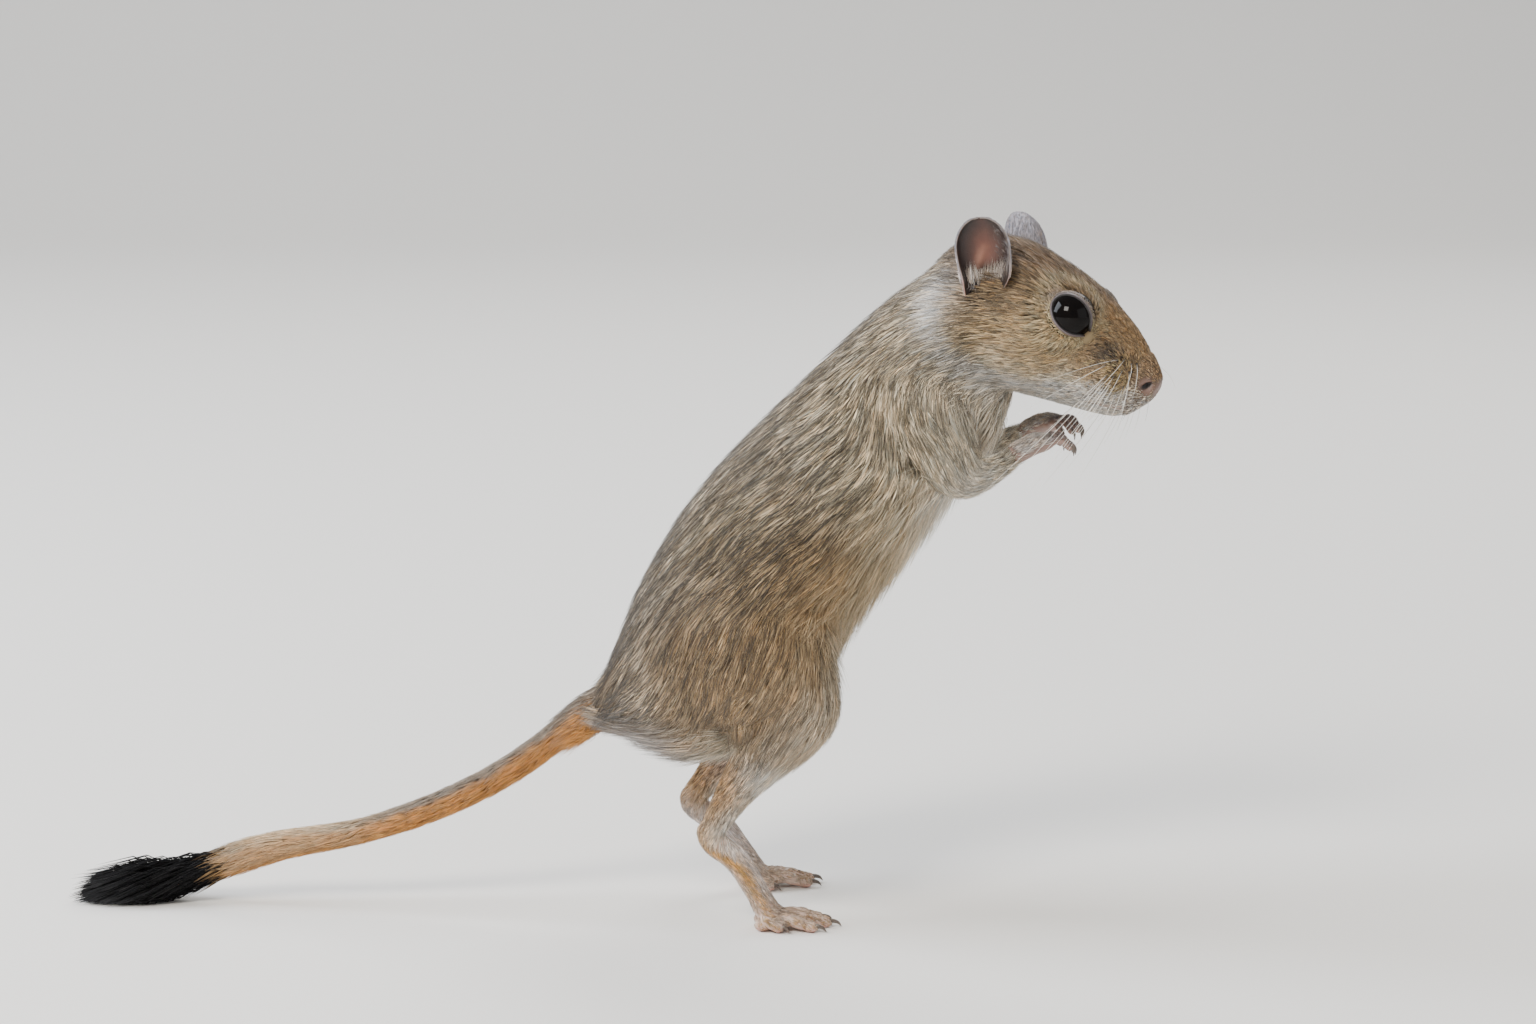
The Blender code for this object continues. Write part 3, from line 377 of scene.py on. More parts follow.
def loft(rows, rings, sides, inset=0.0, across=(0.0, 1.0, 0.0)):
    """A round tube: ellipses of half width and half depth carried along the smooth path through a table, each made
    smaller by inset. Comes back as points, the path's directions and every ring's middle."""
    samples = spline(rows, rings)
    centres, depth, width = samples[:, :3], samples[:, 3:4], samples[:, 4:5]
    depth, width = np.maximum(depth - inset, depth * 0.4), np.maximum(width - inset, width * 0.4)
    along = unit(np.gradient(centres, axis=0))
    across = np.array(across)
    side = unit(across - (along @ across)[:, None] * along)
    return rings_of(centres, side * width, np.cross(side, along) * depth, sides), along, centres


def rings_of(centres, side, up, sides):
    """Ellipses: centre + side cos(turn) + up sin(turn)."""
    turn = np.linspace(0, 2 * np.pi, sides, endpoint=False)[:, None]
    return centres[:, None] + side[:, None] * np.cos(turn) + up[:, None] * np.sin(turn)


def trunk_loft(rings, sides, inset=0.0):
    """The trunk: ellipses that run from the back's outline to the belly's."""
    rows = np.array(TRUNK, float)
    back = np.stack([rows[:, 0], rows[:, 4], rows[:, 1]], axis=1)
    belly = np.stack([rows[:, 2], rows[:, 4], rows[:, 3]], axis=1)
    samples = spline(np.column_stack([(back + belly) / 2, (back - belly) / 2, rows[:, 5]]), rings)
    length = np.linalg.norm(samples[:, 3:6], axis=1, keepdims=True)
    up = unit(samples[:, 3:6]) * np.maximum(length - inset, length * 0.4)
    side = np.array([[0.0, 1.0, 0.0]]) * np.maximum(samples[:, 6:7] - inset, samples[:, 6:7] * 0.4)
    along = unit(np.gradient(samples[:, :3], axis=0))
    return rings_of(samples[:, :3], side, up, sides), along, samples[:, :3]


def head_rows(depth, blunt):
    """The head's table with its skin drawn in by the coat's depth, which grows from the nose to the nape, and its tip
    moved back by blunt."""
    rows = np.array(HEAD, float)
    inset = 0.22 + (depth - 0.22) * ease(1.0, 26.0, -rows[:, 0])
    rows[:, 1] -= inset
    rows[:, 2] += inset
    rows[:, 3] = np.maximum(rows[:, 3] - inset, 0.5)
    rows[:, 0] = rows[:, 0] * (1 - 0.004 * depth) - 0.15 - blunt * ease(-4.5, -0.8, rows[:, 0])
    return rows


def head_surface(rings, sides, depth=0.0, blunt=0.0):
    """The head's skin in its own frame: each ring is two half ellipses that meet at the widest line, and swellings push
    it outwards by height * exp(-(distance / reach)^2)."""
    rows = head_rows(depth, blunt) if depth else np.array(HEAD, float)
    table = np.column_stack([rows[:, 0], rows[:, 1] - rows[:, 2], np.zeros(len(rows)), rows[:, 1:]])
    samples = spline(table, rings)
    x, top, bottom, width, middle = (samples[:, [i]] for i in (0, 3, 4, 5, 6))
    turn = np.linspace(0, 2 * np.pi, sides, endpoint=False)[None, :]
    rise = np.sin(turn)
    z = middle + np.where(rise > 0, top - middle, middle - bottom) * rise
    y = width * np.sign(np.cos(turn)) * np.abs(np.cos(turn)) ** 0.92
    points = np.stack([np.broadcast_to(x, z.shape), y, z], axis=-1).reshape(-1, 3)
    outward = unit(points * (0.0, 1.0, 1.0) + (0.0, 0.0, 1e-6))
    for cx, cy, cz, reach, height in SWELLINGS:
        for side in (1, -1) if cy else (1,):
            far = np.linalg.norm(points - np.array([cx, side * cy, cz]), axis=1)
            points = points + outward * (height * np.exp(-((far / reach) ** 2)))[:, None]
    return points.reshape(rings, sides, 3)


def eye_axes(side):
    """An eye's outward, forward and upward directions in the head's frame."""
    outward = unit(on_side(EYE_OUTWARD, side))
    forward = np.array([1.0, 0.0, -0.42])
    forward = unit(forward - outward * (forward @ outward))
    return outward, forward, np.cross(outward, forward) * side


def lid_outline(side, turn):
    """The eye slit: an oval drawn out to a corner in front, as offsets from the eye's middle line."""
    _, forward, upward = eye_axes(side)
    corner = CANTHUS_REACH * np.exp(-(((turn + np.pi) % (2 * np.pi) - np.pi) / 0.30) ** 2)
    return (LID_OPENING[0] * np.cos(turn) + corner)[:, None] * forward + (LID_OPENING[1] * np.sin(turn))[:, None] * upward


def pressed_sockets(points):
    """Head points near an eye, moved along the line from its middle, so that the skin passes under the eyeball where
    it shows and lies close under the lids around it."""
    for side in (1, -1):
        centre = on_side(EYE_CENTRE, side)
        outward, forward, upward = eye_axes(side)
        away = points - centre
        far = np.linalg.norm(away, axis=1)
        across = np.hypot(away @ forward / LID_OPENING[0], away @ upward / LID_OPENING[1])
        near = (away @ outward > 0) & (far < EYE_RADIUS + 3)
        inner = np.where(near, 1 - ease(1.0, 1.45, across), 0)
        target = centre + away / np.maximum(far, 1e-6)[:, None] * (EYE_RADIUS - 1.0)
        points = points + (target - points) * inner[:, None]
    return points


def node(tree, kind, inputs=None, **settings):
    """Adds a shader node: settings are its own properties, inputs are values or (node, output) pairs for its sockets."""
    made = tree.nodes.new(kind)
    for name, value in settings.items():
        setattr(made, name, value)
    for name, value in (inputs or {}).items():
        if isinstance(value, tuple) and isinstance(value[0], bpy.types.Node):
            tree.links.new(value[0].outputs[value[1]], made.inputs[name])
        else:
            made.inputs[name].default_value = value
    return made


def shader_of(name, **constants):
    """A new material with its node tree and Principled shader, whose constants stand on the shader's own sockets."""
    made = bpy.data.materials.new(name)
    made.use_nodes = True
    shader = made.node_tree.nodes["Principled BSDF"]
    for socket, value in constants.items():
        shader.inputs[socket.replace("_", " ")].default_value = value
    return made, made.node_tree, shader


def coat_material(name, rough, low, high, shine=0.28):
    """Keratin hair: matt, faintly glossy along its scales. The colour stands in the attribute of each tuft's root,
    middle and tip, and a noise of low to high brightness, 1.5 mm long, keeps neighbouring tufts apart."""
    made, tree, shader = shader_of(name, Roughness=rough, Specular_IOR_Level=shine)
    shader.inputs["Sheen Weight"].default_value = 0.4 * shine
    shader.inputs["Sheen Roughness"].default_value = 0.5
    colour = node(tree, "ShaderNodeAttribute", attribute_name="Coat")
    place = node(tree, "ShaderNodeTexCoord")
    noise = node(tree, "ShaderNodeTexNoise", {"Vector": (place, "Object"), "Scale": 660.0, "Detail": 2.0})
    span = node(tree, "ShaderNodeMapRange", {"Value": (noise, "Fac"), "To Min": low, "To Max": high})
    shade = node(tree, "ShaderNodeMix", {"Factor": 1.0}, data_type="RGBA", blend_type="MULTIPLY")
    tree.links.new(colour.outputs["Color"], shade.inputs[6])
    tree.links.new(span.outputs["Result"], shade.inputs[7])
    tree.links.new(shade.outputs[2], shader.inputs["Base Color"])
    return made


# The coat's colours, as a person would name them on a wild-coloured gerbil.
COAT_COLOURS = {
    "brown": "6c563f", "bronze": "8f7350", "ochre": "bb9058", "gold": "b2966a", "tawny": "a98d68",
    "drab": "ab9878", "dove": "c7b69e", "buff": "cdbb9c", "cream": "cdc1ab", "white": "d9d2c6", "ash": "968e88",
    "lilac": "b3a199",
}
# Places of the coat's markings: name, frame (h head, b body), x, y, z, reach in mm, colour. Both sides carry them.
MARKINGS = (
    ("nose bridge", "h", -8.0, 0.0, 7.4, 5.0, "bronze"),
    ("forehead", "h", -19.0, 0.0, 12.0, 7.0, "brown"),
    ("crown", "h", -32.0, 0.0, 13.5, 8.0, "brown"),
    ("brow", "h", -18.0, 7.5, 11.0, 3.4, "bronze"),
    ("eye corner", "h", -12.0, 7.0, 4.0, 3.0, "bronze"),
    ("cheek", "h", -23.0, 10.2, -3.0, 6.0, "gold"),
    ("low cheek", "h", -24.0, 8.5, -10.0, 5.0, "cream"),
    ("jaw", "h", -14.0, 5.0, -9.8, 4.5, "cream"),
    ("muzzle side", "h", -9.0, 6.2, 1.0, 3.4, "tawny"),
    ("lip", "h", -5.0, 3.4, -6.4, 2.8, "cream"),
    ("chin", "h", -6.0, 0.0, -9.2, 3.5, "white"),
    ("temple", "h", -27.0, 9.6, 5.0, 4.5, "tawny"),
    ("ruff", "b", 16.0, 10.0, 108.0, 7.0, "buff"),
    ("nape", "b", 16.0, 0.0, 113.5, 8.0, "dove"),
    ("shoulder", "b", 8.0, 11.0, 96.0, 9.0, "buff"),
    ("high back", "b", 0.0, 0.0, 97.0, 13.0, "dove"),
    ("middle back", "b", -16.0, 0.0, 82.0, 14.0, "dove"),
    ("low back", "b", -28.0, 0.0, 62.0, 13.0, "dove"),
    ("rump", "b", -36.0, 0.0, 46.0, 9.0, "tawny"),
    ("high flank", "b", -10.0, 15.0, 76.0, 10.0, "drab"),
    ("flank", "b", -2.0, 17.0, 66.0, 9.0, "tawny"),
    ("low flank", "b", 8.0, 14.0, 66.0, 7.0, "tawny"),
    ("belly", "b", 14.0, 0.0, 64.0, 11.0, "buff"),
    ("low belly", "b", 4.0, 0.0, 48.0, 10.0, "cream"),
    ("belly edge", "b", 15.0, 8.0, 66.0, 6.0, "drab"),
    ("breast", "b", 29.0, 0.0, 84.0, 9.0, "white"),
    ("throat", "b", 37.0, -2.0, 97.0, 7.0, "cream"),
    ("side of the chest", "b", 20.0, 11.0, 84.0, 8.0, "buff"),
    ("haunch", "b", -14.0, 22.0, 56.0, 9.0, "tawny"),
    ("thigh", "b", -6.0, 22.0, 46.0, 8.0, "tawny"),
    ("knee", "b", 3.0, 18.0, 40.0, 6.0, "dove"),
    ("inner thigh", "b", -6.0, 4.0, 38.0, 7.0, "cream"),
    ("vent", "b", -22.0, 0.0, 33.0, 8.0, "ash"),
    ("shank behind", "b", -14.0, 16.0, 27.0, 5.0, "ochre"),
    ("shank before", "b", -6.0, 15.0, 27.0, 4.6, "white"),
    ("shank inside", "b", -12.0, 9.5, 26.0, 3.5, "lilac"),
    ("shin", "b", -11.0, 14.5, 20.5, 3.2, "white"),
    ("upper arm", "b", 23.0, 15.0, 88.0, 6.0, "cream"),
    ("elbow", "b", 28.0, 17.0, 81.0, 5.0, "white"),
    ("forearm", "b", 35.0, 13.0, 84.0, 4.0, "cream"),
)


def marking_colours(points):
    """The coat's colour at each point: a mean of the markings, each weighted by exp(-(distance / reach)^2), with the
    head's sharper markings over it."""
    head = to_head(points)
    total = np.full((len(points), 1), 1e-9)
    mixed = np.tile(linear(COAT_COLOURS["drab"]), (len(points), 1)) * 1e-9
    for _, where, x, y, z, reach, colour in MARKINGS:
        local = (head if where == "h" else points) - (0, 0, z)
        far = np.sqrt((local[:, 0] - x) ** 2 + (np.abs(local[:, 1]) - y) ** 2 + local[:, 2] ** 2)
        weight = np.exp(-((far / reach) ** 2))[:, None] + 1e-7 / (1 + far[:, None])
        mixed += weight * linear(COAT_COLOURS[colour])
        total += weight
    return head_markings(mixed / total, points, head)


def head_markings(colour, points, head):
    """A white band under a border that runs from the nose to the ear, a pale patch behind the ear, a cream ring round
    the eye and a dark patch above the whisker pad. Each share is a smooth step or exp(-distance^2), made uneven by
    ripples."""
    x, y, z = head[:, 0], np.abs(head[:, 1]), head[:, 2]
    uneven = 0.6 * ripple(points, 5.0, 8) + 0.4 * ripple(points, 1.7, 9)
    drop = np.interp(-x, *np.array(CHEEK_BORDER).T) - z - uneven
    band = ease(-0.8, 0.8, drop) * (1 - 0.85 * ease(1.8, 5.5, drop) * ease(-17.0, -25.0, x))
    on_head = ease(-42.0, -35.0, x) * ease(-18.0, -15.5, z)
    colour = colour + (linear("c6bfb5") - colour) * (band * on_head)[:, None]
    behind = np.exp(-(((x + 37.5) / 3.4) ** 2) - ((y - 9.5) / 5.0) ** 2 - ((z + 0.5) / 4.4) ** 2)
    colour = colour + (linear("dbd6d0") - colour) * np.clip(1.1 * behind + 0.2 * behind * uneven, 0, 1)[:, None]
    far = np.linalg.norm(np.stack([x, y, z], axis=1) - np.array(EYE_CENTRE), axis=1)
    ring = 0.6 * np.exp(-(((far - 5.4) / 1.1) ** 2))
    colour = colour + (linear("b5a37e") - colour) * ring[:, None]
    patch = 0.9 * np.exp(-(((x + 9.1) / 2.3) ** 2) - ((z - 1.9) / 2.3) ** 2 - ((y - 6.0) / 3.0) ** 2)
    return colour + (linear("3a2f25") - colour) * patch[:, None]


def tail_colours(share, up, points):
    """Sandy sides, a grey-brown stripe on top and, from four fifths of its length on, black."""
    sandy, stripe, under, black = (linear(c) for c in ("c08442", "8d7f6f", "c98f4c", "141214"))
    top = ease(0.35, 0.8, up + 0.1 * ripple(points, 4, 5))[:, None]
    late = ease(0.42, 0.62, share)[:, None]
    stripe = stripe + (linear("c8ad8a") - stripe) * late
    sandy = sandy + (linear("c39a6c") - sandy) * late
    low = ease(0.5, 0.9, -up)[:, None]
    colour = sandy + (stripe - sandy) * top + (under - sandy) * low
    dark = ease(0.74, 0.86, share + 0.02 * ripple(points, 3, 6) + 0.05 * up)[:, None]
    return colour + (black - colour) * dark


def make_hide():
    """The one skin under the coat and, at each of its vertices, every limb's nearness and direction, and the place
    along and round the nearest limb.
    """
    depth = bpy.context.scene.gerbil_coat.depth / MM
    hind_left = mirrored(HIND_LEG, *LEFT_HIND_SHIFT)
    fore_left = mirrored(FORELEG, *LEFT_FORE_SHIFT)
    head = pressed_sockets(head_surface(150, 160, depth * 0.75, 1.5).reshape(-1, 3)).reshape(150, 160, 3)
    head = from_head(head.reshape(-1, 3)).reshape(150, 160, 3)
    limbs = {
        "trunk": trunk_loft(150, 120, depth),
        "hind_right": loft(HIND_LEG, 90, 60, depth * 0.5),
        "hind_left": loft(hind_left, 90, 60, depth * 0.5),
        "fore_right": loft(FORELEG, 80, 50, depth * 0.45),
        "fore_left": loft(fore_left, 80, 50, depth * 0.45),
        "tail": loft(TAIL, 170, 36, depth * 0.4),
        "head": (head, np.tile(-AXES[:, 0], (150, 1)), head.mean(axis=1)),
    }
    # The legs' lofts end inside feet and hands, and the tail's runs on inside the brush.
    points, faces, edges = fused("hide", [closed_tube(grid) for grid, _, _ in limbs.values()], 0.55, 14)
    nearest, distance, share, turn = [], [], [], []
    lie = np.zeros((len(limbs), len(points), 3))
    for k, (name, (grid, along, middle)) in enumerate(limbs.items()):
        tree = KDTree(grid.shape[0] * grid.shape[1])
        for i, co in enumerate(grid.reshape(-1, 3)):
            tree.insert(co, i)
        tree.balance()
        found = [tree.find(co) for co in points]
        index = np.array([f[1] for f in found])
        ring, place = index // grid.shape[1], index % grid.shape[1]
        distance.append([f[2] for f in found])
        share.append(ring / (grid.shape[0] - 1))
        turn.append(place / grid.shape[1])
        lie[k] = along[ring] * (-1 if name == "trunk" else 1)
    distance = np.array(distance)
    weight = np.exp(-((distance - distance.min(axis=0)) / 2.2) ** 2 - (distance / 30) ** 2)
    weight /= weight.sum(axis=0)
    share, turn = np.array(share), np.array(turn)
    main = weight.argmax(axis=0)
    rows = np.arange(len(points))
    BUILT["hide"] = dict(
        points=points, faces=faces, edges=edges, weight=weight, lie=lie, main=main, names=list(limbs),
        share=share[main, rows], turn=turn[main, rows],
    )
    return BUILT["hide"]


def lie_of_the_coat(hide, normals):
    """Directions along the skin: the mean of the limbs' directions, each limb by its nearness, drawn down on the flanks
    and away from the eyes, made even by smoothing and laid flat on the skin."""
    points = hide["points"]
    flow = (hide["weight"][..., None] * hide["lie"]).sum(axis=0)
    head = to_head(points)
    on_trunk = hide["weight"][0][:, None]
    flow += on_trunk * np.array([-0.26, 0.0, -0.06])
    thigh = (hide["weight"][1] + hide["weight"][2])[:, None] * (1 - ease(0.5, 0.8, hide["share"]))[:, None]
    flow += thigh * (1.6 * unit([-0.5, 0.0, -0.87]) - 0.9 * flow)
    on_head = hide["weight"][-1][:, None]
    flow += on_head * (AXES @ np.array([0, 0, -0.22]))
    for side in (1, -1):
        away = head - on_side(EYE_CENTRE, side)
        far = np.linalg.norm(away, axis=1, keepdims=True)
        pull = np.exp(-(((far - EYE_RADIUS) / 2.4) ** 2)) * on_head
        flow += 1.3 * pull * (unit(away) @ AXES.T)
    flow = smoothed(flow, hide["edges"], 30, 0.5)
    for side in (1, -1):
        away = head - on_side(WHISKER_PAD, side) - (2.0, 0, 0)
        pull = np.exp(-((np.linalg.norm(away, axis=1, keepdims=True) / 3.6) ** 2)) * on_head
        flow = unit(flow) + 2.2 * pull * (unit(away) @ AXES.T)
    flow -= normals * (flow * normals).sum(axis=1, keepdims=True)
    return unit(flow)


def vertex_normals(points, faces):
    """Each vertex's unit normal: the sum of its faces' cross products of diagonals or sides."""
    tri = faces if faces.shape[1] == 3 else np.concatenate([faces[:, [0, 1, 2]], faces[:, [0, 2, 3]]])
    cross = np.cross(points[tri[:, 1]] - points[tri[:, 0]], points[tri[:, 2]] - points[tri[:, 0]])
    total = np.stack([sum(np.bincount(tri[:, i], cross[:, c], len(points)) for i in range(3)) for c in range(3)], axis=1)
    return unit(total)


def scattered(points, faces, density, seed):
    """Random points on a skin: each triangle gets its area times the mean density of its corners, on average.
    Comes back as triangle corners and barycentric weights."""
    draw = np.random.default_rng(seed)
    tri = faces if faces.shape[1] == 3 else np.concatenate([faces[:, [0, 1, 2]], faces[:, [0, 2, 3]]])
    a, b, c = (points[tri[:, i]] for i in range(3))
    area = np.linalg.norm(np.cross(b - a, c - a), axis=1) / 2
    number = draw.poisson(area * density[tri].mean(axis=1))
    pick = np.repeat(np.arange(len(tri)), number)
    u, v = draw.random((2, len(pick)))
    over = u + v > 1
    u[over], v[over] = 1 - u[over], 1 - v[over]
    return tri[pick], np.stack([1 - u - v, u, v], axis=1)


def at(values, corners, weights):
    """A vertex field at scattered points: the weighted mean of its values at the three corners."""
    picked = values[corners]
    return (picked * (weights[..., None] if picked.ndim == 3 else weights)).sum(axis=1)


def clumped(roots, seed, share):
    """For each root the index of the nearest of some roots, a share of all, that are chosen at random."""
    draw = np.random.default_rng(seed)
    count = max(4, int(len(roots) * share))
    seeds = draw.choice(len(roots), count, replace=False)
    tree = KDTree(count)
    for i, co in enumerate(roots[seeds]):
        tree.insert(co, i)
    tree.balance()
    return seeds[np.array([tree.find(co)[1] for co in roots])]


def snapped(tree, points):
    """The nearest places and normals on a skin for each point."""
    found = [tree.find_nearest(Vector(p)) for p in points]
    return np.array([f[0] for f in found]), np.array([f[1] for f in found])


def tuft_arrays(roots, normals, mids, tips, widths):
    """Solid tufts, pointed at both ends: a point at the root, a three-sided ring at the middle and a point at the tip.
    The ring is middle - side w / 2, middle + lift 0.45 w, middle + side w / 2, so a tuft has five points and six
    triangles."""
    ahead = unit(tips - roots)
    side = unit(np.cross(ahead, normals)) * widths[:, None] / 2
    lift = unit(np.cross(side, ahead)) * widths[:, None] * 0.45
    return np.stack([roots, mids - side, mids + lift, mids + side, tips], axis=1)


def tuft_piece(name, tufts, colours, atlas, material, replaces=()):
    """A mesh of tufts, given as rows of five points with their colours, and the map OFBake, in which a tuft is a patch
    0.003 across at its root's place."""
    count = len(tufts)
    sides = np.array([[0, 2, 1], [0, 3, 2], [0, 1, 3], [1, 2, 4], [2, 3, 4], [3, 1, 4]])
    loops = (np.arange(count)[:, None, None] * 5 + sides).ravel()
    tufts = tufts - ORIGIN
    tufts[..., 2] = np.maximum(tufts[..., 2], FLOOR_GAP)
    mesh = bpy.data.meshes.new(name)
    mesh.vertices.add(count * 5)
    mesh.vertices.foreach_set("co", (tufts * MM).astype(np.float32).ravel())
    mesh.loops.add(len(loops))
    mesh.loops.foreach_set("vertex_index", loops.astype(np.int32))
    mesh.polygons.add(count * 6)
    mesh.polygons.foreach_set("loop_start", (np.arange(count * 6) * 3).astype(np.int32))
    mesh.update(calc_edges=True)
    mesh.shade_smooth()
    paint(mesh, colours.reshape(-1, 3))
    patch = np.array([[0.5, 0], [0, 0.45], [0.5, 0.55], [1, 0.45], [0.5, 1]]) - 0.5
    low, high = atlas.min(axis=0), atlas.max(axis=0)
    place = 0.01 + 0.98 * (atlas - low) / np.maximum(high - low, 1e-6)
    uv = (place[:, None] + patch[None] * 0.003).reshape(-1, 2)
    mesh.uv_layers.new(name="OFBake").data.foreach_set("uv", uv[loops].astype(np.float32).ravel())
    obj = bpy.data.objects.new(name, mesh)
    bpy.context.scene.collection.objects.link(obj)
    mesh.materials.append(material)
    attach(obj, "root")
    if replaces:
        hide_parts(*replaces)
    return obj


def grow(surface, lie, fields, seed, clump=0.18, pull=0.55, guards=0.32):
    """Tufts on a surface, from the fields (density, length, width, lift, disorder) at its vertices. Each starts a little
    under it, bends over at 0.45 of its length and ends on it, raised by its lift. Ends draw together:
    tip = own end + pull * (end of the clump's first tuft - own end)."""
    points, faces, normals = surface
    density, *others = (np.asarray(field) + np.zeros(len(points)) for field in fields)
    draw = np.random.default_rng(seed)
    corners, weights = scattered(points, faces, density, seed)
    roots, up = at(points, corners, weights), unit(at(normals, corners, weights))
    flow = unit(at(lie, corners, weights))
    long, wide, high, wild = (at(field, corners, weights) for field in others)
    side = np.cross(up, flow)
    sway = 0.20 * ripple(roots, 10.0, seed + 1) + 0.10 * ripple(roots, 3.5, seed + 2)
    flow = unit(flow + side * (sway + wild * draw.normal(0, 1, len(roots)))[:, None])
    first = clumped(roots, seed + 3, clump)
    guard = draw.random(len(roots)) < guards
    long = long * draw.uniform(0.78, 1.18, len(roots)) * np.where(guard, 1.2, 1.0)
    wide = wide * draw.uniform(0.75, 1.25, len(roots)) * np.where(guard, 0.55, 1.0)
    high = high * draw.uniform(0.5, 1.1, len(roots)) * np.where(guard, 1.35, 1.0)
    tree = BVHTree.FromPolygons(points.tolist(), faces.tolist())
    own, shared = roots + flow * long[:, None], roots[first] + flow[first] * long[:, None]
    tips, tip_up = snapped(tree, own + (shared - own) * pull)
    mid = roots + flow * long[:, None] * 0.45
    mids, mid_up = snapped(tree, mid + (shared - own) * pull * 0.4)
    mids = mids + unit(mid_up + up) * (high * 0.72)[:, None]
    tips = tips + unit(tip_up + up) * high[:, None]
    return dict(
        shapes=tuft_arrays(roots - up * 0.12, up, mids, tips, wide), roots=roots, corners=corners, weights=weights,
        first=first, guard=guard,
    )


def tuft_colours(tufts, base, seed, dark, streak=0.28):
    """Colours of a tuft's five points: dark at the root, partly the grey of the underfur and partly painted shade
    between the tufts, the coat's own in the middle, paler at the tip, or dark at the tip of a guard hair. A clump
    shares one brightness, exp of a normal number, and one warmth."""
    draw = np.random.default_rng(seed)
    count = len(base)
    clump = np.exp(draw.normal(0, 1, count) * streak)[tufts["first"]]
    warmth = 1 + draw.normal(0, 0.05, count)[tufts["first"], None] * np.array([1.0, 0.1, -1.0])
    shade = (clump * np.exp(draw.normal(0, 0.17, count)))[:, None] * warmth
    guard = tufts["guard"][:, None]
    dark = np.asarray(dark, float).reshape(-1, 1)
    grey = base.mean(axis=1, keepdims=True)
    # The dark root is partly the underfur's grey and partly painted shade deep between the tufts.
    root = (0.24 * base + 0.06 * grey) * (1 - 0.3 * dark)
    mid = np.where(guard, base * (1 - 0.82 * dark), base * 0.96) * shade
    tip = np.where(guard, base * (1 - 0.93 * dark), base * 1.3) * shade
    return np.stack([root, mid, mid, mid, tip], axis=1)


class GERBIL_PG_coat(bpy.types.PropertyGroup):
    """Sizes of the coat."""

    depth: FloatProperty(
        name="Depth", description="How far the trunk's coat stands over the skin", default=0.0016, unit="LENGTH", precision=4
    )
    length: FloatProperty(name="Length", description="Length of the trunk's hairs", default=0.0078, unit="LENGTH", precision=4)
    width: FloatProperty(name="Tuft Width", description="Width of a tuft on the trunk", default=0.00027, unit="LENGTH", precision=5)
    density: FloatProperty(name="Tufts", description="Tufts on each square millimetre of the trunk", default=11.0, min=0.5, max=20)


class GERBIL_PG_looks(bpy.types.PropertyGroup):
    """Colours and sizes of what isn't fur."""

    floor: FloatVectorProperty(
        name="Floor", description="Colour of the floor", subtype="COLOR", size=3, default=tuple(linear("e9e6e1"))
    )
    whiskers: IntProperty(name="Whiskers", description="Whiskers on each side of the muzzle", default=22, min=0, max=60)
    whisker: FloatProperty(name="Whisker Length", description="Longest whisker", default=0.030, unit="LENGTH", precision=3)


class GERBIL_OT_hide(bpy.types.Operator):
    """Lays one skin under the coat of trunk, head, legs and tail"""

    bl_idname = "gerbil.hide"
    bl_label = "Skin"

    def execute(self, context):
        hide = make_hide()
        points, faces = hide["points"], hide["faces"]
        normals = vertex_normals(points, faces)
        hide["normals"] = normals
        hide["lie"] = lie_of_the_coat(hide, normals)
        colour = marking_colours(points)
        tail = hide["weight"][hide["names"].index("tail")][:, None]
        up = np.sin(hide["turn"] * 2 * np.pi)
        colour += (tail_colours(hide["share"], up, points) - colour) * ease(0.12, 0.6, tail)
        hide["colour"] = colour
        made = piece(
            "skin", points, faces, coat_material("underfur_keratin", 0.8, 0.85, 1.1), slot="coat",
            replaces=[
                "abdomen", "chest", "neck", "rump", "head", "tail_root", "tail_middle", "tail_end", "thigh_left",
                "thigh_right", "shank_left", "shank_right", "upper_arm_left", "upper_arm_right", "forearm_left",
                "forearm_right",
            ],
        )
        paint(made.data, colour * 0.5)
        return {"FINISHED"}


def ball(centre, outward, forward, radius, rows, sides):
    """A sphere: centre + radius (outward cos a + (forward cos b + across sin b) sin a), its front bulged by
    0.02 exp(-(a / 0.7)^2) as a cornea."""
    across = np.cross(outward, forward)
    a = np.linspace(0.02, np.pi - 0.02, rows)[:, None, None]
    b = np.linspace(0, 2 * np.pi, sides, endpoint=False)[None, :, None]
    reach = radius * (1 + 0.02 * np.exp(-((a / 0.7) ** 2)))
    return centre + reach * (outward * np.cos(a) + (forward * np.cos(b) + across * np.sin(b)) * np.sin(a))


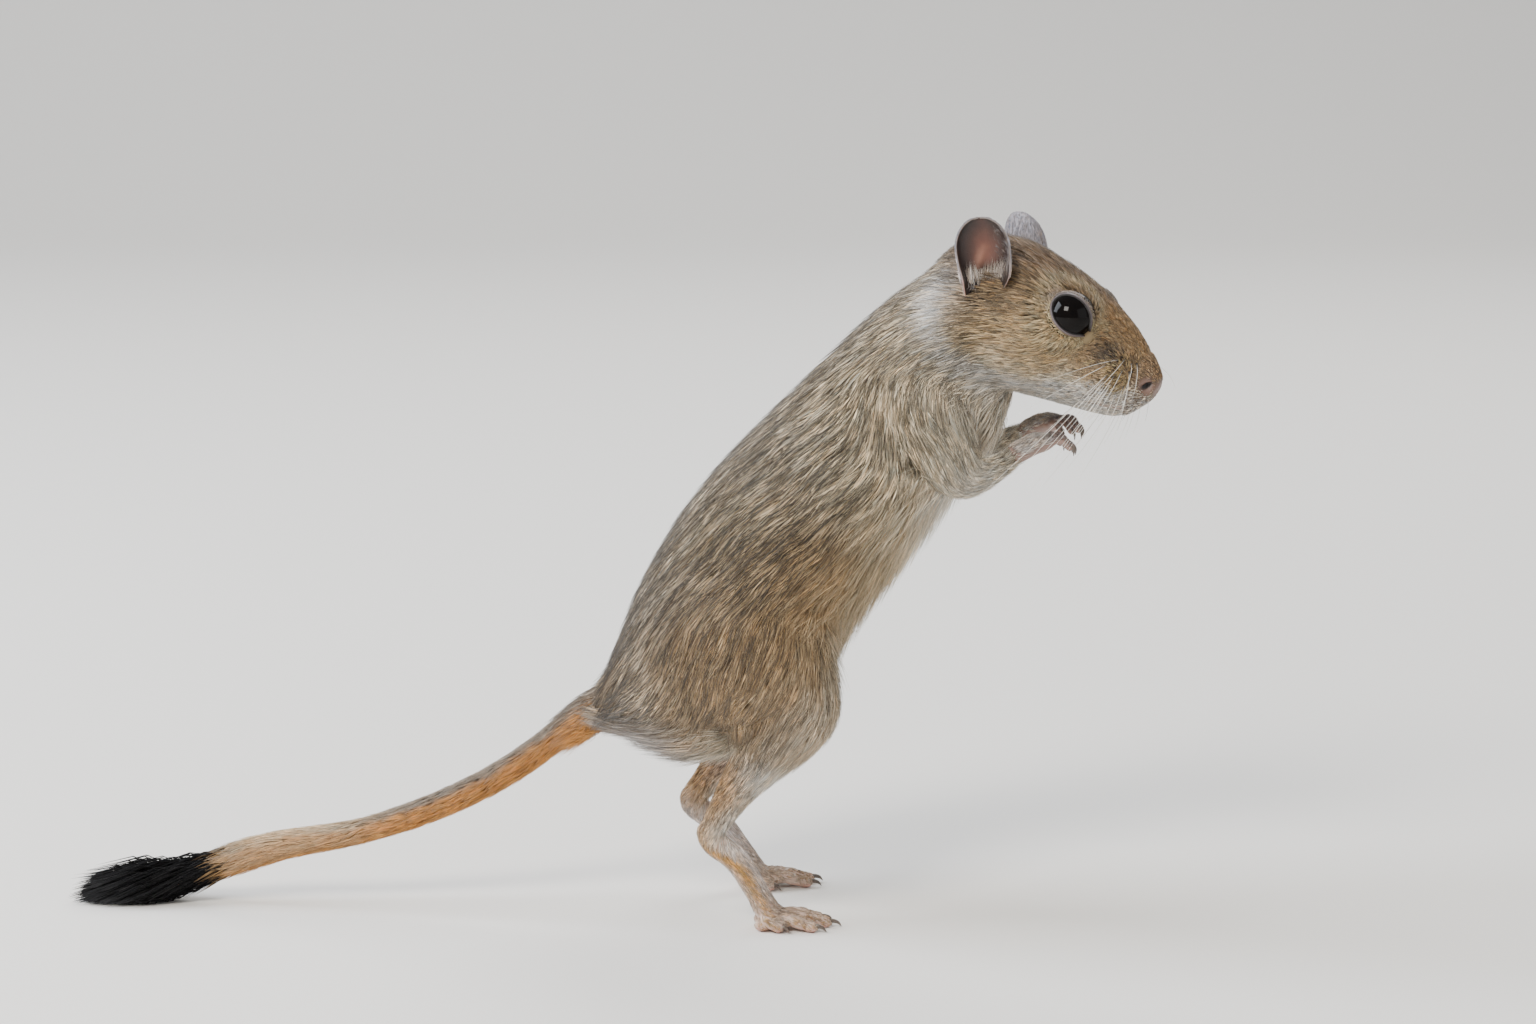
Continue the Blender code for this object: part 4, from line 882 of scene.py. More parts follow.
def lid_grid(side, rings, sides):
    """A lid's ring in the head's frame: from the eye slit's edge on the eyeball over a rolled rim, 0.35 mm high, and out
    to the face's skin, which each ray from the eye's middle meets at its own distance."""
    centre = on_side(EYE_CENTRE, side)
    outward, forward, upward = eye_axes(side)
    turn = np.linspace(0, 2 * np.pi, sides, endpoint=False)
    offset = lid_outline(side, turn)
    reach = np.linalg.norm(offset, axis=1)
    way = offset / reach[:, None]
    # The angle grows evenly with the reach, so that the drawn-out corner stays in front of the eyeball's rim.
    angle = 1.0 * reach / LID_OPENING[0]
    u = np.linspace(0, 1, rings)[:, None] ** 1.3
    a = angle + (0.62 + 0.2 * angle) * u**1.2
    rays = outward * np.cos(a)[..., None] + way * np.sin(a)[..., None]
    points, faces = closed_tube(head_surface(150, 160, BUILT["depth"] * 0.75))
    tree = BVHTree.FromPolygons(points.tolist(), [list(f) for f in faces])
    far = [tree.ray_cast(Vector(centre + ray * 14), Vector(-ray))[3] or 9.0 for ray in rays.reshape(-1, 3)]
    skin = 14 - np.array(far).reshape(a.shape)
    rim = EYE_RADIUS - 0.10 + 0.42 * ease(0.0, 0.1, u) - 0.1 * ease(0.14, 0.4, u)
    out = ease(0.16, 0.85, u)
    distance = rim * (1 - out) + np.maximum(skin, EYE_RADIUS - 0.5) * out - 0.3 * ease(0.85, 1.0, u)
    # The bare rim is a little wider in the front corner.
    corner = np.exp(-(((turn + np.pi) % (2 * np.pi) - np.pi) / 0.32) ** 2)
    return centre + rays * distance[..., None], u + 0 * a, corner + 0 * a


def wet_cornea():
    """Cornea over a near-black iris: wet, smooth, IOR 1.376. Lamps show on it as small bright spots, and noise 1 mm
    across gives the iris a faint brown."""
    made, tree, shader = shader_of("wet_cornea", Roughness=0.04, IOR=1.376, Specular_IOR_Level=0.2)
    place = node(tree, "ShaderNodeTexCoord")
    noise = node(tree, "ShaderNodeTexNoise", {"Vector": (place, "Object"), "Scale": 900.0, "Detail": 3.0})
    ramp = node(tree, "ShaderNodeValToRGB", {"Fac": (noise, "Fac")})
    ramp.color_ramp.elements[0].color = (*linear("040405"), 1)
    ramp.color_ramp.elements[1].color = (*linear("100b09"), 1)
    tree.links.new(ramp.outputs["Color"], shader.inputs["Base Color"])
    return made


def bare_skin(name, rough, fold, blood):
    """Bare skin: its colour stands in the attribute, fine folds break its sheen, fold mm apart, and blood is the share
    of light that goes through it and comes out redder."""
    made, tree, shader = shader_of(name, Roughness=rough)
    shader.inputs["Subsurface Weight"].default_value = blood
    shader.inputs["Subsurface Radius"].default_value = (1.0, 0.4, 0.25)
    shader.inputs["Subsurface Scale"].default_value = 0.0007
    colour = node(tree, "ShaderNodeAttribute", attribute_name="Coat")
    place = node(tree, "ShaderNodeTexCoord")
    folds = node(tree, "ShaderNodeTexVoronoi", {"Vector": (place, "Object"), "Scale": 1000.0 / fold})
    bump = node(tree, "ShaderNodeBump", {"Height": (folds, "Distance"), "Distance": 0.0001, "Strength": 0.4})
    tree.links.new(colour.outputs["Color"], shader.inputs["Base Color"])
    tree.links.new(bump.outputs["Normal"], shader.inputs["Normal"])
    return made


class GERBIL_OT_eyes(bpy.types.Operator):
    """Sets the black eyes in their sockets and lays the lids round them"""

    bl_idname = "gerbil.eyes"
    bl_label = "Eyes and Lids"

    def execute(self, context):
        wet, bare = wet_cornea(), bare_skin("lid_skin", 0.42, 0.3, 0.1)
        rings, sides = 28, 110
        for side, word in ((-1, "right"), (1, "left")):
            outward, forward, _ = eye_axes(side)
            grid = ball(on_side(EYE_CENTRE, side), outward, forward, EYE_RADIUS - 0.03, 40, 64)
            points, faces = closed_tube(grid)
            piece(f"eyeball_{word}", from_head(points), faces, wet, "eye", [f"eye_{word}"])
            grid, u, corner = lid_grid(side, rings, sides)
            centre = on_side(EYE_CENTRE, side)
            under = grid - unit(grid - centre) * 0.25
            whole = from_head(np.concatenate([grid, under[::-1]]).reshape(-1, 3))
            faces = facing_out(whole, ring_faces(2 * rings + 1, sides) % len(whole))
            made = piece(f"lids_{word}", whole, faces, bare, "coat")
            u, corner = (np.concatenate([field, field[::-1]]).reshape(-1, 1) for field in (u, corner))
            rim, pale = linear("120d0c"), linear("5f5557")
            colour = rim + (pale - rim) * ease(0.06 + 0.03 * corner, 0.14 + 0.08 * corner, u)
            colour += (marking_colours(whole) * 0.7 - colour) * ease(0.2, 0.45, u)
            paint(made.data, colour)
            count = rings * sides
            BUILT[f"lids_{word}"] = (whole[:count], faces[: count - sides], u[:count, 0], corner[:count, 0], sides)
        return {"FINISHED"}


def ear_axes():
    """The left ear's directions in the head's frame: to its tip, the way it faces, and across it."""
    tipward = unit(EAR_TIPWARD)
    facing = unit(np.array(EAR_FACING) - tipward * (np.array(EAR_FACING) @ tipward))
    return tipward, facing, np.cross(tipward, facing)


def ear_sheet(rows, columns):
    """The left ear in the head's frame: an oval that narrows to its stem. Its half width is a power of a cosine, its
    sides bend forwards by depth * (across^2 - 0.35), more so in the deep shell above the notch, and its stem leans in."""
    tipward, facing, sideways = ear_axes()
    below, above = EAR_WIDEST * EAR_LENGTH, (1 - EAR_WIDEST) * EAR_LENGTH
    lowest = -math.asin((below + EAR_BURIED) / (below + EAR_BURIED + 2.0))
    turn = np.linspace(lowest, math.pi / 2 - 0.03, rows)[:, None]
    rise = np.where(turn > 0, above, below + EAR_BURIED + 2.0) * np.sin(turn)
    half = (EAR_WIDTH / 2 - 0.05) * np.where(turn > 0, np.cos(turn), np.cos(turn) ** 1.9)
    across = np.linspace(-1, 1, columns)[None, :]
    height = (rise + below) / EAR_LENGTH
    shell = 1 + 0.5 * np.exp(-(((height - 0.25) / 0.2) ** 2))
    cup = EAR_DEPTH * shell * (1 - 0.45 * rise / above) * (across**2 - 0.35) * half / (EAR_WIDTH / 2)
    # The front edge rolls inwards, and the stem flattens and dives into the fur.
    cup = cup * ease(-0.1, 0.3, height)
    cup = cup + 0.5 * np.exp(-(((across + 0.9) / 0.14) ** 2)) * ease(0.15, 0.35, height) * (1 - ease(0.75, 0.95, height))
    cup = cup - 2.7 * (1 - ease(-0.1, 0.24, height))
    points = (
        np.array(EAR_NOTCH)
        + (below + rise)[..., None] * tipward
        + (half * np.sin(across * math.pi / 2))[..., None] * sideways
        + cup[..., None] * facing
    )
    return points, np.broadcast_to(height, cup.shape), np.broadcast_to(across, cup.shape)


def ear_colours(rise, across, rim):
    """Inside: dark brown, salmon along the middle, nearly black in the shell at its foot as painted shade of the ear's
    opening, with a thin pale edge. Each share is exp(-(distance / reach)^2) or a smooth step. Outside: lilac grey,
    warmer at its foot."""
    inside = np.tile(linear("2c211e"), (*rise.shape, 1))
    flesh = np.exp(-(((across + 0.12) / 0.34) ** 2)) * ease(0.3, 0.48, rise) * (1 - 0.8 * ease(0.6, 0.95, rise))
    fold = np.exp(-(((across - 0.1 + 0.8 * (rise - 0.4)) / 0.12) ** 2)) * ease(0.25, 0.4, rise) * (1 - ease(0.55, 0.7, rise))
    # Painted shade: the opening at the shell's foot is painted nearly black.
    hole = np.exp(-(((across - 0.05) / 0.4) ** 2) - ((rise - 0.22) / 0.15) ** 2)
    inside += (linear("6e463a") - inside) * flesh[..., None]
    inside += (linear("a3745f") - inside) * (0.5 * fold)[..., None]
    inside += (linear("140b0a") - inside) * hole[..., None]
    edge = np.maximum(ease(0.965, 0.99, np.abs(across)), ease(0.985, 0.998, rise))
    inside += (linear("7f736d") - inside) * edge[..., None]
    outside = linear("857f84") + (linear("b08c80") - linear("857f84")) * (1 - ease(0.1, 0.5, rise))[..., None]
    outside = outside + (linear("4a4448") - outside) * (0.7 * rim)[..., None]
    return np.concatenate([inside.reshape(-1, 3), outside.reshape(-1, 3)])


def thin_ear_skin():
    """Thin living skin: light shines through it, vessels and spots 1.5 mm across redden it, pores 0.25 mm apart."""
    made, tree, shader = shader_of("thin_ear_skin", Roughness=0.5)
    shader.inputs["Subsurface Weight"].default_value = 0.12
    shader.inputs["Subsurface Radius"].default_value = (1.0, 0.35, 0.2)
    shader.inputs["Subsurface Scale"].default_value = 0.0008
    colour = node(tree, "ShaderNodeAttribute", attribute_name="Coat")
    place = node(tree, "ShaderNodeTexCoord")
    noise = node(tree, "ShaderNodeTexNoise", {"Vector": (place, "Object"), "Scale": 700.0, "Detail": 4.0})
    span = node(tree, "ShaderNodeMapRange", {"Value": (noise, "Fac"), "To Min": 0.7, "To Max": 1.25})
    shade = node(tree, "ShaderNodeMix", {"Factor": 1.0}, data_type="RGBA", blend_type="MULTIPLY")
    tree.links.new(colour.outputs["Color"], shade.inputs[6])
    tree.links.new(span.outputs["Result"], shade.inputs[7])
    tree.links.new(shade.outputs[2], shader.inputs["Base Color"])
    pores = node(tree, "ShaderNodeTexNoise", {"Vector": (place, "Object"), "Scale": 4000.0, "Detail": 2.0})
    bump = node(tree, "ShaderNodeBump", {"Height": (pores, "Fac"), "Distance": 0.0001, "Strength": 0.5})
    tree.links.new(bump.outputs["Normal"], shader.inputs["Normal"])
    return made


class GERBIL_OT_ears(bpy.types.Operator):
    """Makes the thin cupped ears with their rims and the folds inside them"""

    bl_idname = "gerbil.ears"
    bl_label = "Ears"

    def execute(self, context):
        rows, columns = 64, 60
        sheet, rise, across = ear_sheet(rows, columns)
        _, facing, _ = ear_axes()
        normal = unit(np.cross(np.gradient(sheet, axis=1), np.gradient(sheet, axis=0)))
        normal *= np.sign((normal @ facing))[..., None]
        edge = 1 - np.maximum(np.abs(across), ease(0.9, 1.0, rise)) ** 6
        rim = np.exp(-(((np.abs(across) - 0.93) / 0.06) ** 2)) * ease(0.15, 0.35, rise)
        middle = np.exp(-((across / 0.5) ** 2)) * ease(0.1, 0.25, rise) * (1 - ease(0.5, 0.75, rise))
        folds = 0.12 * np.sin(rise * 30 + 2 * across) * middle
        ridge = 0.3 * np.exp(-(((across - 0.1 + 0.8 * (rise - 0.4)) / 0.12) ** 2)) * middle
        wall = EAR_THICKNESS / 2 * (0.25 + 0.75 * edge)
        front = sheet + normal * (wall + 0.22 * rim + folds + ridge)[..., None]
        back = sheet - normal * wall[..., None]
        live, colours = thin_ear_skin(), ear_colours(rise, across, rim)
        faces, count = ring_faces(rows, columns, wrap=False), rows * columns
        border = np.concatenate(
            [
                np.arange(columns), np.arange(1, rows) * columns + columns - 1,
                (rows - 1) * columns + np.arange(columns - 2, -1, -1), np.arange(rows - 2, 0, -1) * columns,
            ]
        )
        after = np.roll(border, -1)
        strip = np.stack([border, after, after + count, border + count], axis=1)
        every = np.concatenate([faces[:, ::-1], faces + count, strip])
        for side, word in ((-1, "right"), (1, "left")):
            points = from_head(np.concatenate([front.reshape(-1, 3), back.reshape(-1, 3)]) * (1, side, 1))
            turned = facing_out(points, every)
            made = piece(f"ear_skin_{word}", points, turned, live, "ear_skin", [f"ear_{word}"])
            paint(made.data, colours)
            BUILT[f"ear_{word}"] = (points, turned, rise.ravel(), across.ravel())
        return {"FINISHED"}


def foot_tubes(word, ankle_rows, ball_place, turn):
    """Closed tubes of a hind foot's instep, heel and toes, and apart from them those of its claws."""
    above, ankle = np.array(ankle_rows[-3]), np.array(ankle_rows[-2])
    down = unit(ankle[:3] - above[:3])
    start = ankle[:3]
    middle = np.array(ball_place)
    angle = math.radians(turn)
    forward = np.array([math.cos(angle), math.sin(angle), 0.0])
    across = np.array([-math.sin(angle), math.cos(angle), 0.0])
    instep = middle + (0, 0, 2.0)
    rows = [
        (*(start - down * 3.2), 1.2, 1.1),
        (*(start - down * 1.2), ankle[3] * 0.6, ankle[4] * 0.6),
        (*(start + down * 1.2), ankle[3] * 0.7, ankle[4] * 0.72),
        (*(start * 0.62 + instep * 0.38), 1.95, 2.0),
        (*(start * 0.28 + instep * 0.72), 1.85, 2.45),
        (*instep, 2.1, 3.1),
        (*(instep + forward * 2.6 - (0, 0, 0.6)), 1.6, 2.9),
    ]
    heel = start - forward * (HEEL_REACH - 1.5) - (0, 0, 0.9)
    flesh = [loft(rows, 40, 32, across=tuple(across))[0], ball(heel, -forward, np.array([0, 0, 1.0]), 1.15, 20, 24)]
    claws = []
    outward = -1 if word == "right" else 1
    for sideways, behind, spread, length in TOES:
        way = math.radians(turn + spread * outward)
        ahead = np.array([math.cos(way), math.sin(way), 0.0])
        base = middle - forward * behind + across * sideways * outward
        arch = 0.07 * length
        radius = TOE_RADIUS * 0.92
        toe = [
            (*(base + (0, 0, 1.6)), radius, radius),
            (*(base + ahead * length * 0.45 + (0, 0, 1.4 + arch)), radius * 0.9, radius * 0.88),
            (*(base + ahead * length * 0.62 + (0, 0, 1.2 + arch * 0.8)), radius, radius * 0.98),
            (*(base + ahead * length * 0.80 + (0, 0, 1.0 + arch * 0.3)), radius * 0.82, radius * 0.82),
            (*(base + ahead * length * 0.94 + (0, 0, 0.85)), radius * 0.9, radius * 0.88),
            (*(base + ahead * (length + 0.3) + (0, 0, 0.65)), 0.45, 0.5),
        ]
        long = HIND_CLAW * (1.0 if length > 5 else 0.75)
        claw = [
            (*(base + ahead * (length - 0.7) + (0, 0, 1.15)), 0.42, 0.36),
            (*(base + ahead * (length + long * 0.3) + (0, 0, 1.15)), 0.4, 0.32),
            (*(base + ahead * (length + long * 0.7) + (0, 0, 0.85)), 0.28, 0.2),
            (*(base + ahead * (length + long) + (0, 0, 0.2)), 0.06, 0.05),
        ]
        sideway = tuple(np.cross((0, 0, 1), ahead))
        flesh.append(loft(toe, 26, 20, across=sideway)[0])
        flesh.append(ball(base + (0, 0, 1.1), np.array([0, 0, 1.0]), ahead, 1.25, 14, 16))
        claws.append(loft(claw, 14, 12, across=sideway)[0])
    for tube in flesh:
        tube[..., 2] = np.maximum(tube[..., 2], 0.0)
    return flesh, claws


def hand_tubes(word, arm_rows):
    """Closed tubes of a forepaw's palm and digits, bent down, and apart from them those of its claws."""
    wrist, beyond = np.array(arm_rows[-2]), np.array(arm_rows[-1])
    ahead = unit(beyond[:3] - wrist[:3])
    across = unit(np.cross((0, 0, 1), ahead))
    upward = np.cross(ahead, across)
    start = wrist[:3]
    knuckles = start + ahead * PALM_LENGTH - upward * 0.5
    rows = [
        (*(start - ahead * 2), 1.75, 1.9),
        (*start, 1.75, 2.0),
        (*(start + ahead * PALM_LENGTH * 0.5 + upward * 0.1), 1.75, 2.35),
        (*knuckles, 1.3, 2.45),
        (*(knuckles + ahead * 0.8 - upward * 0.3), 0.8, 1.9),
    ]
    flesh, claws = [loft(rows, 30, 28, across=tuple(across))[0]], []
    outward = -1 if word == "right" else 1
    for sideways, spread, length in DIGITS:
        way = math.radians(spread * outward)
        out = ahead * math.cos(way) + across * math.sin(way)
        base = knuckles + across * sideways * outward
        bend = base + out * length * 0.55 - upward * 0.1
        tip = bend + out * length * 0.25 - upward * length * 0.55
        digit = [
            (*(base - out * 0.8), DIGIT_RADIUS, DIGIT_RADIUS),
            (*bend, DIGIT_RADIUS * 0.95, DIGIT_RADIUS * 0.95),
            (*(bend * 0.4 + tip * 0.6), DIGIT_RADIUS * 0.8, DIGIT_RADIUS * 0.8),
            (*tip, DIGIT_RADIUS * 0.85, DIGIT_RADIUS * 0.85),
            (*(tip - upward * 0.5), 0.3, 0.3),
        ]
        claw = [
            (*(tip + upward * 0.5 + out * 0.3), 0.3, 0.26),
            (*(tip - upward * FORE_CLAW * 0.4 + out * 0.5), 0.26, 0.22),
            (*(tip - upward * FORE_CLAW * 1.2 + out * 0.1), 0.04, 0.04),
        ]
        flesh.append(loft(digit, 18, 16, across=tuple(across))[0])
        claws.append(loft(claw, 12, 10, across=tuple(across))[0])
    return flesh, claws


def claw_horn():
    """Claw horn: dark, smooth, a little clear, with paler streaks 0.7 mm long."""
    made, tree, shader = shader_of("claw_horn", Roughness=0.3, IOR=1.55)
    place = node(tree, "ShaderNodeTexCoord")
    grain = node(tree, "ShaderNodeTexNoise", {"Vector": (place, "Object"), "Scale": 1500.0})
    ramp = node(tree, "ShaderNodeValToRGB", {"Fac": (grain, "Fac")})
    ramp.color_ramp.elements[0].color = (*linear("2c2420"), 1)
    ramp.color_ramp.elements[1].color = (*linear("75665a"), 1)
    tree.links.new(ramp.outputs["Color"], shader.inputs["Base Color"])
    return made


class GERBIL_OT_paws(bpy.types.Operator):
    """Makes the feet and hands with their toes, pads and claws"""

    bl_idname = "gerbil.paws"
    bl_label = "Feet and Hands"

    def execute(self, context):
        bare, horn = bare_skin("bare_paw_skin", 0.55, 0.35, 0.2), claw_horn()
        hind_left = mirrored(HIND_LEG, *LEFT_HIND_SHIFT)
        fore_left = mirrored(FORELEG, *LEFT_FORE_SHIFT)
        for name, (flesh, claws), voxel in (
            ("foot_right", foot_tubes("right", HIND_LEG, BALL_RIGHT, FOOT_TURN_RIGHT), 0.3),
            ("foot_left", foot_tubes("left", hind_left, BALL_LEFT, FOOT_TURN_LEFT), 0.3),
            ("hand_right", hand_tubes("right", FORELEG), 0.22),
            ("hand_left", hand_tubes("left", fore_left), 0.22),
        ):
            points, faces, edges = fused(name + "_flesh", [closed_tube(tube) for tube in flesh], voxel, 3)
            points[:, 2] = np.maximum(points[:, 2], 0.0)
            made = piece("skin_of_" + name, points, faces, bare, "paw_skin", [name])
            pink, pale = (linear("b98f80"), linear("bfa595")) if "foot" in name else (linear("806459"), linear("8d776d"))
            low = (1 - ease(0.3, 1.3, points[:, 2]))[:, None] if "foot" in name else 0.5
            tint = (1 + 0.1 * ripple(points, 2.0, 3))[:, None]
            paint(made.data, (pale + (pink - pale) * low) * tint)
            piece("claws_of_" + name, *gathered([closed_tube(tube) for tube in claws]), horn, "paw_skin")
            BUILT[name] = (points, faces, edges)
        return {"FINISHED"}


def nostril_sink(flat, outward):
    """How deep the two slanting nostrils lie, 0 to 1, with their raised rims below 0, and the groove between them. A
    slit is exp(-(along / 1.3)^2 - (across / 0.55)^2)."""
    sink, near = np.zeros(len(flat)), np.zeros(len(flat))
    for side in (1, -1):
        local = flat - on_side(NOSTRIL, side)
        slit = unit(on_side((0.55, -0.45, 0.6), side))
        away = local - outward * (local * outward).sum(axis=1, keepdims=True)
        along = away @ slit
        wide = np.linalg.norm(away - along[:, None] * slit, axis=1)
        sink += np.exp(-((along / 1.3) ** 2) - (wide / 0.55) ** 2)
        sink -= 0.3 * np.exp(-((along / 1.7) ** 2) - ((wide - 1.15) / 0.4) ** 2)
        near = np.maximum(near, np.exp(-((np.linalg.norm(local, axis=1) / 1.6) ** 4)))
    groove = np.exp(-((flat[:, 1] / 0.25) ** 2)) * ease(-0.2, -1.6, flat[:, 2])
    return sink, near, groove


def lip_rings(rows, columns):
    """The mouth's line: rings along the mouth on the head's skin. A ring's upper side is two rolls,
    0.12 exp(-((|t| - 0.45) / 0.2)^2), and the slit between them, -0.5 exp(-(t / 0.15)^2), its lower side lies 0.7
    deeper."""
    left = np.array(MOUTH, float)
    whole = np.concatenate([left[:0:-1] * (1, -1, 1), left])
    path = spline(np.column_stack([whole, np.zeros((len(whole), 2))]), rows)[:, :3]
    points, faces = closed_tube(head_surface(200, 200, BUILT["depth"] * 0.75))
    tree = BVHTree.FromPolygons(points.tolist(), faces)
    path, out = snapped(tree, path)
    along = unit(np.gradient(path, axis=0))
    across = unit(np.cross(out, along))
    t = np.linspace(-1, 1, columns)[None, :, None]
    width = 0.35 + 0.4 * np.sin(np.linspace(0.12, np.pi - 0.12, rows))[:, None, None] ** 0.7
    flat, normal = snapped(tree, (path[:, None] + across[:, None] * t * width).reshape(-1, 3))
    t = np.broadcast_to(t[..., 0], (rows, columns))
    high = 0.12 * np.exp(-(((np.abs(t) - 0.45) / 0.2) ** 2)) - 0.5 * np.exp(-((t / 0.15) ** 2)) - 0.5 * ease(0.7, 1, np.abs(t))
    flat, normal = flat.reshape(rows, columns, 3), normal.reshape(rows, columns, 3)
    upper, lower = flat + normal * high[..., None], (flat - normal * 0.7)[:, ::-1]
    return from_head(np.concatenate([upper, lower], axis=1)), np.concatenate([t, t * 0 + 1], axis=1).ravel()


class GERBIL_OT_nose(bpy.types.Operator):
    """Makes the bare nose tip with its nostrils, and the lips"""

    bl_idname = "gerbil.nose"
    bl_label = "Nose and Mouth"

    def execute(self, context):
        moist, sides = bare_skin("nose_leather", 0.42, 0.25, 0.12), 160
        surface = head_surface(400, sides, 0.0)
        rows = int((surface[:, 0, 0] > -5.4).sum())
        flat = surface[:rows].reshape(-1, 3)
        outward = unit(flat * (0.0, 1.0, 1.0) + (1.2, 0.0, 1e-6))
        sink, near, groove = nostril_sink(flat, outward)
        hidden = ease(-3.4, -5.2, flat[:, 0])
        deep = 0.12 + 1.0 * np.clip(sink, -0.4, 1) + 0.35 * groove + 0.9 * hidden
        points, faces = closed_tube(from_head(flat - outward * deep[:, None]).reshape(rows, sides, 3))
        made = piece("nose", points, faces, moist, "paw_skin")
        tip = np.linalg.norm(flat - (-0.2, 0.0, -0.9), axis=1)
        bare = np.maximum(np.exp(-((tip / 1.7) ** 4)), near)
        # Painted shade: the nostrils and the groove between them are painted nearly black.
        dark = ease(0.15, 0.6, sink + groove * 0.5)[:, None]
        tint = linear("4f3d2d") + (linear("7a6056") - linear("4f3d2d")) * bare[:, None]
        tint = tint + (linear("120b0a") - tint) * dark
        paint(made.data, np.concatenate([tint, tint[:1], tint[-1:]]))
        BUILT["nose"] = (points, np.array(faces[: (rows - 1) * sides]), np.concatenate([bare, [1, 0]]))
        grid, t = lip_rings(70, 15)
        made = piece("lips", *closed_tube(grid), bare_skin("lip_skin", 0.45, 0.25, 0.15), "paw_skin")
        # Painted shade: the slit between the lips is painted nearly black.
        slit = np.exp(-((t / 0.2) ** 2))[:, None]
        tint = linear("a8988c") + (linear("1c1311") - linear("a8988c")) * slit
        paint(made.data, np.concatenate([tint, tint[:1], tint[-1:]]))
        return {"FINISHED"}


def distance_to(points, line):
    """Each point's distance to the nearest sample of a line."""
    far = np.full(len(points), 1e9)
    for sample in line:
        far = np.minimum(far, np.linalg.norm(points - sample, axis=1))
    return far


def coat_fields(hide, sizes):
    """Density, length, width, lift and disorder of the tufts at every vertex of the skin. The head's grow from the nose
    backwards, a leg's shrink towards its foot, and those of the belly and round the ears stand out."""
    points, weight, share, normals = hide["points"], hide["weight"], hide["share"], hide["normals"]
    depth, length, width = sizes.depth / MM, sizes.length / MM, sizes.width / MM
    trunk, hind_right, hind_left, fore_right, fore_left, tail, on_head = weight
    head = to_head(points)
    back = ease(1.0, 34.0, -head[:, 0])
    hind, fore = hind_right + hind_left, fore_right + fore_left
    lower = ease(0.3, 0.85, share)
    long = length * (
        trunk + hind * (0.9 - 0.62 * lower) + fore * (0.72 - 0.42 * lower) + tail * (0.46 + 0.25 * ease(0.5, 0.8, share))
    ) + on_head * (0.8 + (length * 0.52 - 0.8) * back)
    wide = width * (
        trunk + hind * (0.95 - 0.4 * lower) + fore * (0.75 - 0.3 * lower) + tail * 0.55
    ) + on_head * (0.12 + (width * 0.68 - 0.12) * back)
    high = depth * (
        trunk + hind * (0.6 - 0.35 * lower) + fore * 0.45 + tail * (0.3 + 0.4 * ease(0.6, 0.8, share))
    ) + on_head * (0.16 + (depth * 0.7 - 0.16) * back)
    dense = sizes.density * (
        trunk + hind * (0.8 + 0.75 * lower) + fore * (0.85 + 0.6 * lower) + tail * 1.2 + on_head * (1.65 + 2.5 * (1 - back) ** 1.5)
    )
    wild = trunk * 0.13 + hind * 0.11 + fore * 0.12 + tail * 0.08 + on_head * 0.10
    # Belly, breast and knee carry a loose fringe.
    fringe = ease(0.2, 0.8, normals @ unit((0.8, 0.0, -0.6))) * (trunk + 0.5 * hind * (1 - lower) + 0.6 * fore * (1 - lower))
    high, wild, long = high * (1 + 1.3 * fringe), wild + 0.16 * fringe, long * (1 + 0.15 * fringe)
    for side in (1, -1):
        offset = head - on_side(EYE_CENTRE, side)
        outward, forward, upward = eye_axes(side)
        slit = np.hypot(offset @ forward / (LID_OPENING[0] + 0.5), offset @ upward / LID_OPENING[1])
        inside = (offset @ outward > 0.4) & (np.linalg.norm(offset, axis=1) < EYE_RADIUS + 2.5)
        dense = np.where(inside & (slit < 1.45), 0, dense)
        long = long * (1 - 0.5 * np.exp(-(((slit - 1.5) / 0.6) ** 2)) * inside)
        pad = np.exp(-((np.linalg.norm(head - on_side(WHISKER_PAD, side), axis=1) / 3.0) ** 2))
        high, wild, long = high + 0.28 * pad, wild + 0.35 * pad, long * (1 + 0.5 * pad)
        ear = np.exp(-((np.linalg.norm(head - on_side(EAR_NOTCH, side), axis=1) / 4.6) ** 2))
        high, wild, long = high + 1.5 * ear, wild + 0.16 * ear, long * (1 + 0.5 * ear)
        before = np.exp(-((np.linalg.norm(head - on_side(EAR_NOTCH, side) - (3.2, 0, 1.6), axis=1) / 2.8) ** 2))
        high, long = high * (1 - 0.8 * before), long * (1 - 0.6 * before)
        mouth = distance_to(head, spline(np.column_stack([np.array(MOUTH) * (1, side, 1), np.zeros((4, 2))]), 30)[:, :3])
        dense = dense * (1 - 0.85 * np.exp(-((mouth / 0.8) ** 2)))
    dense = np.where((on_head > 0.5) & (head[:, 0] > -3.6), 0, dense)
    # The ends of the legs lie inside the paws.
    dense = np.where((hind + fore > 0.5) & (share > 0.985), 0, dense)
    return dense, long, wide, high, wild


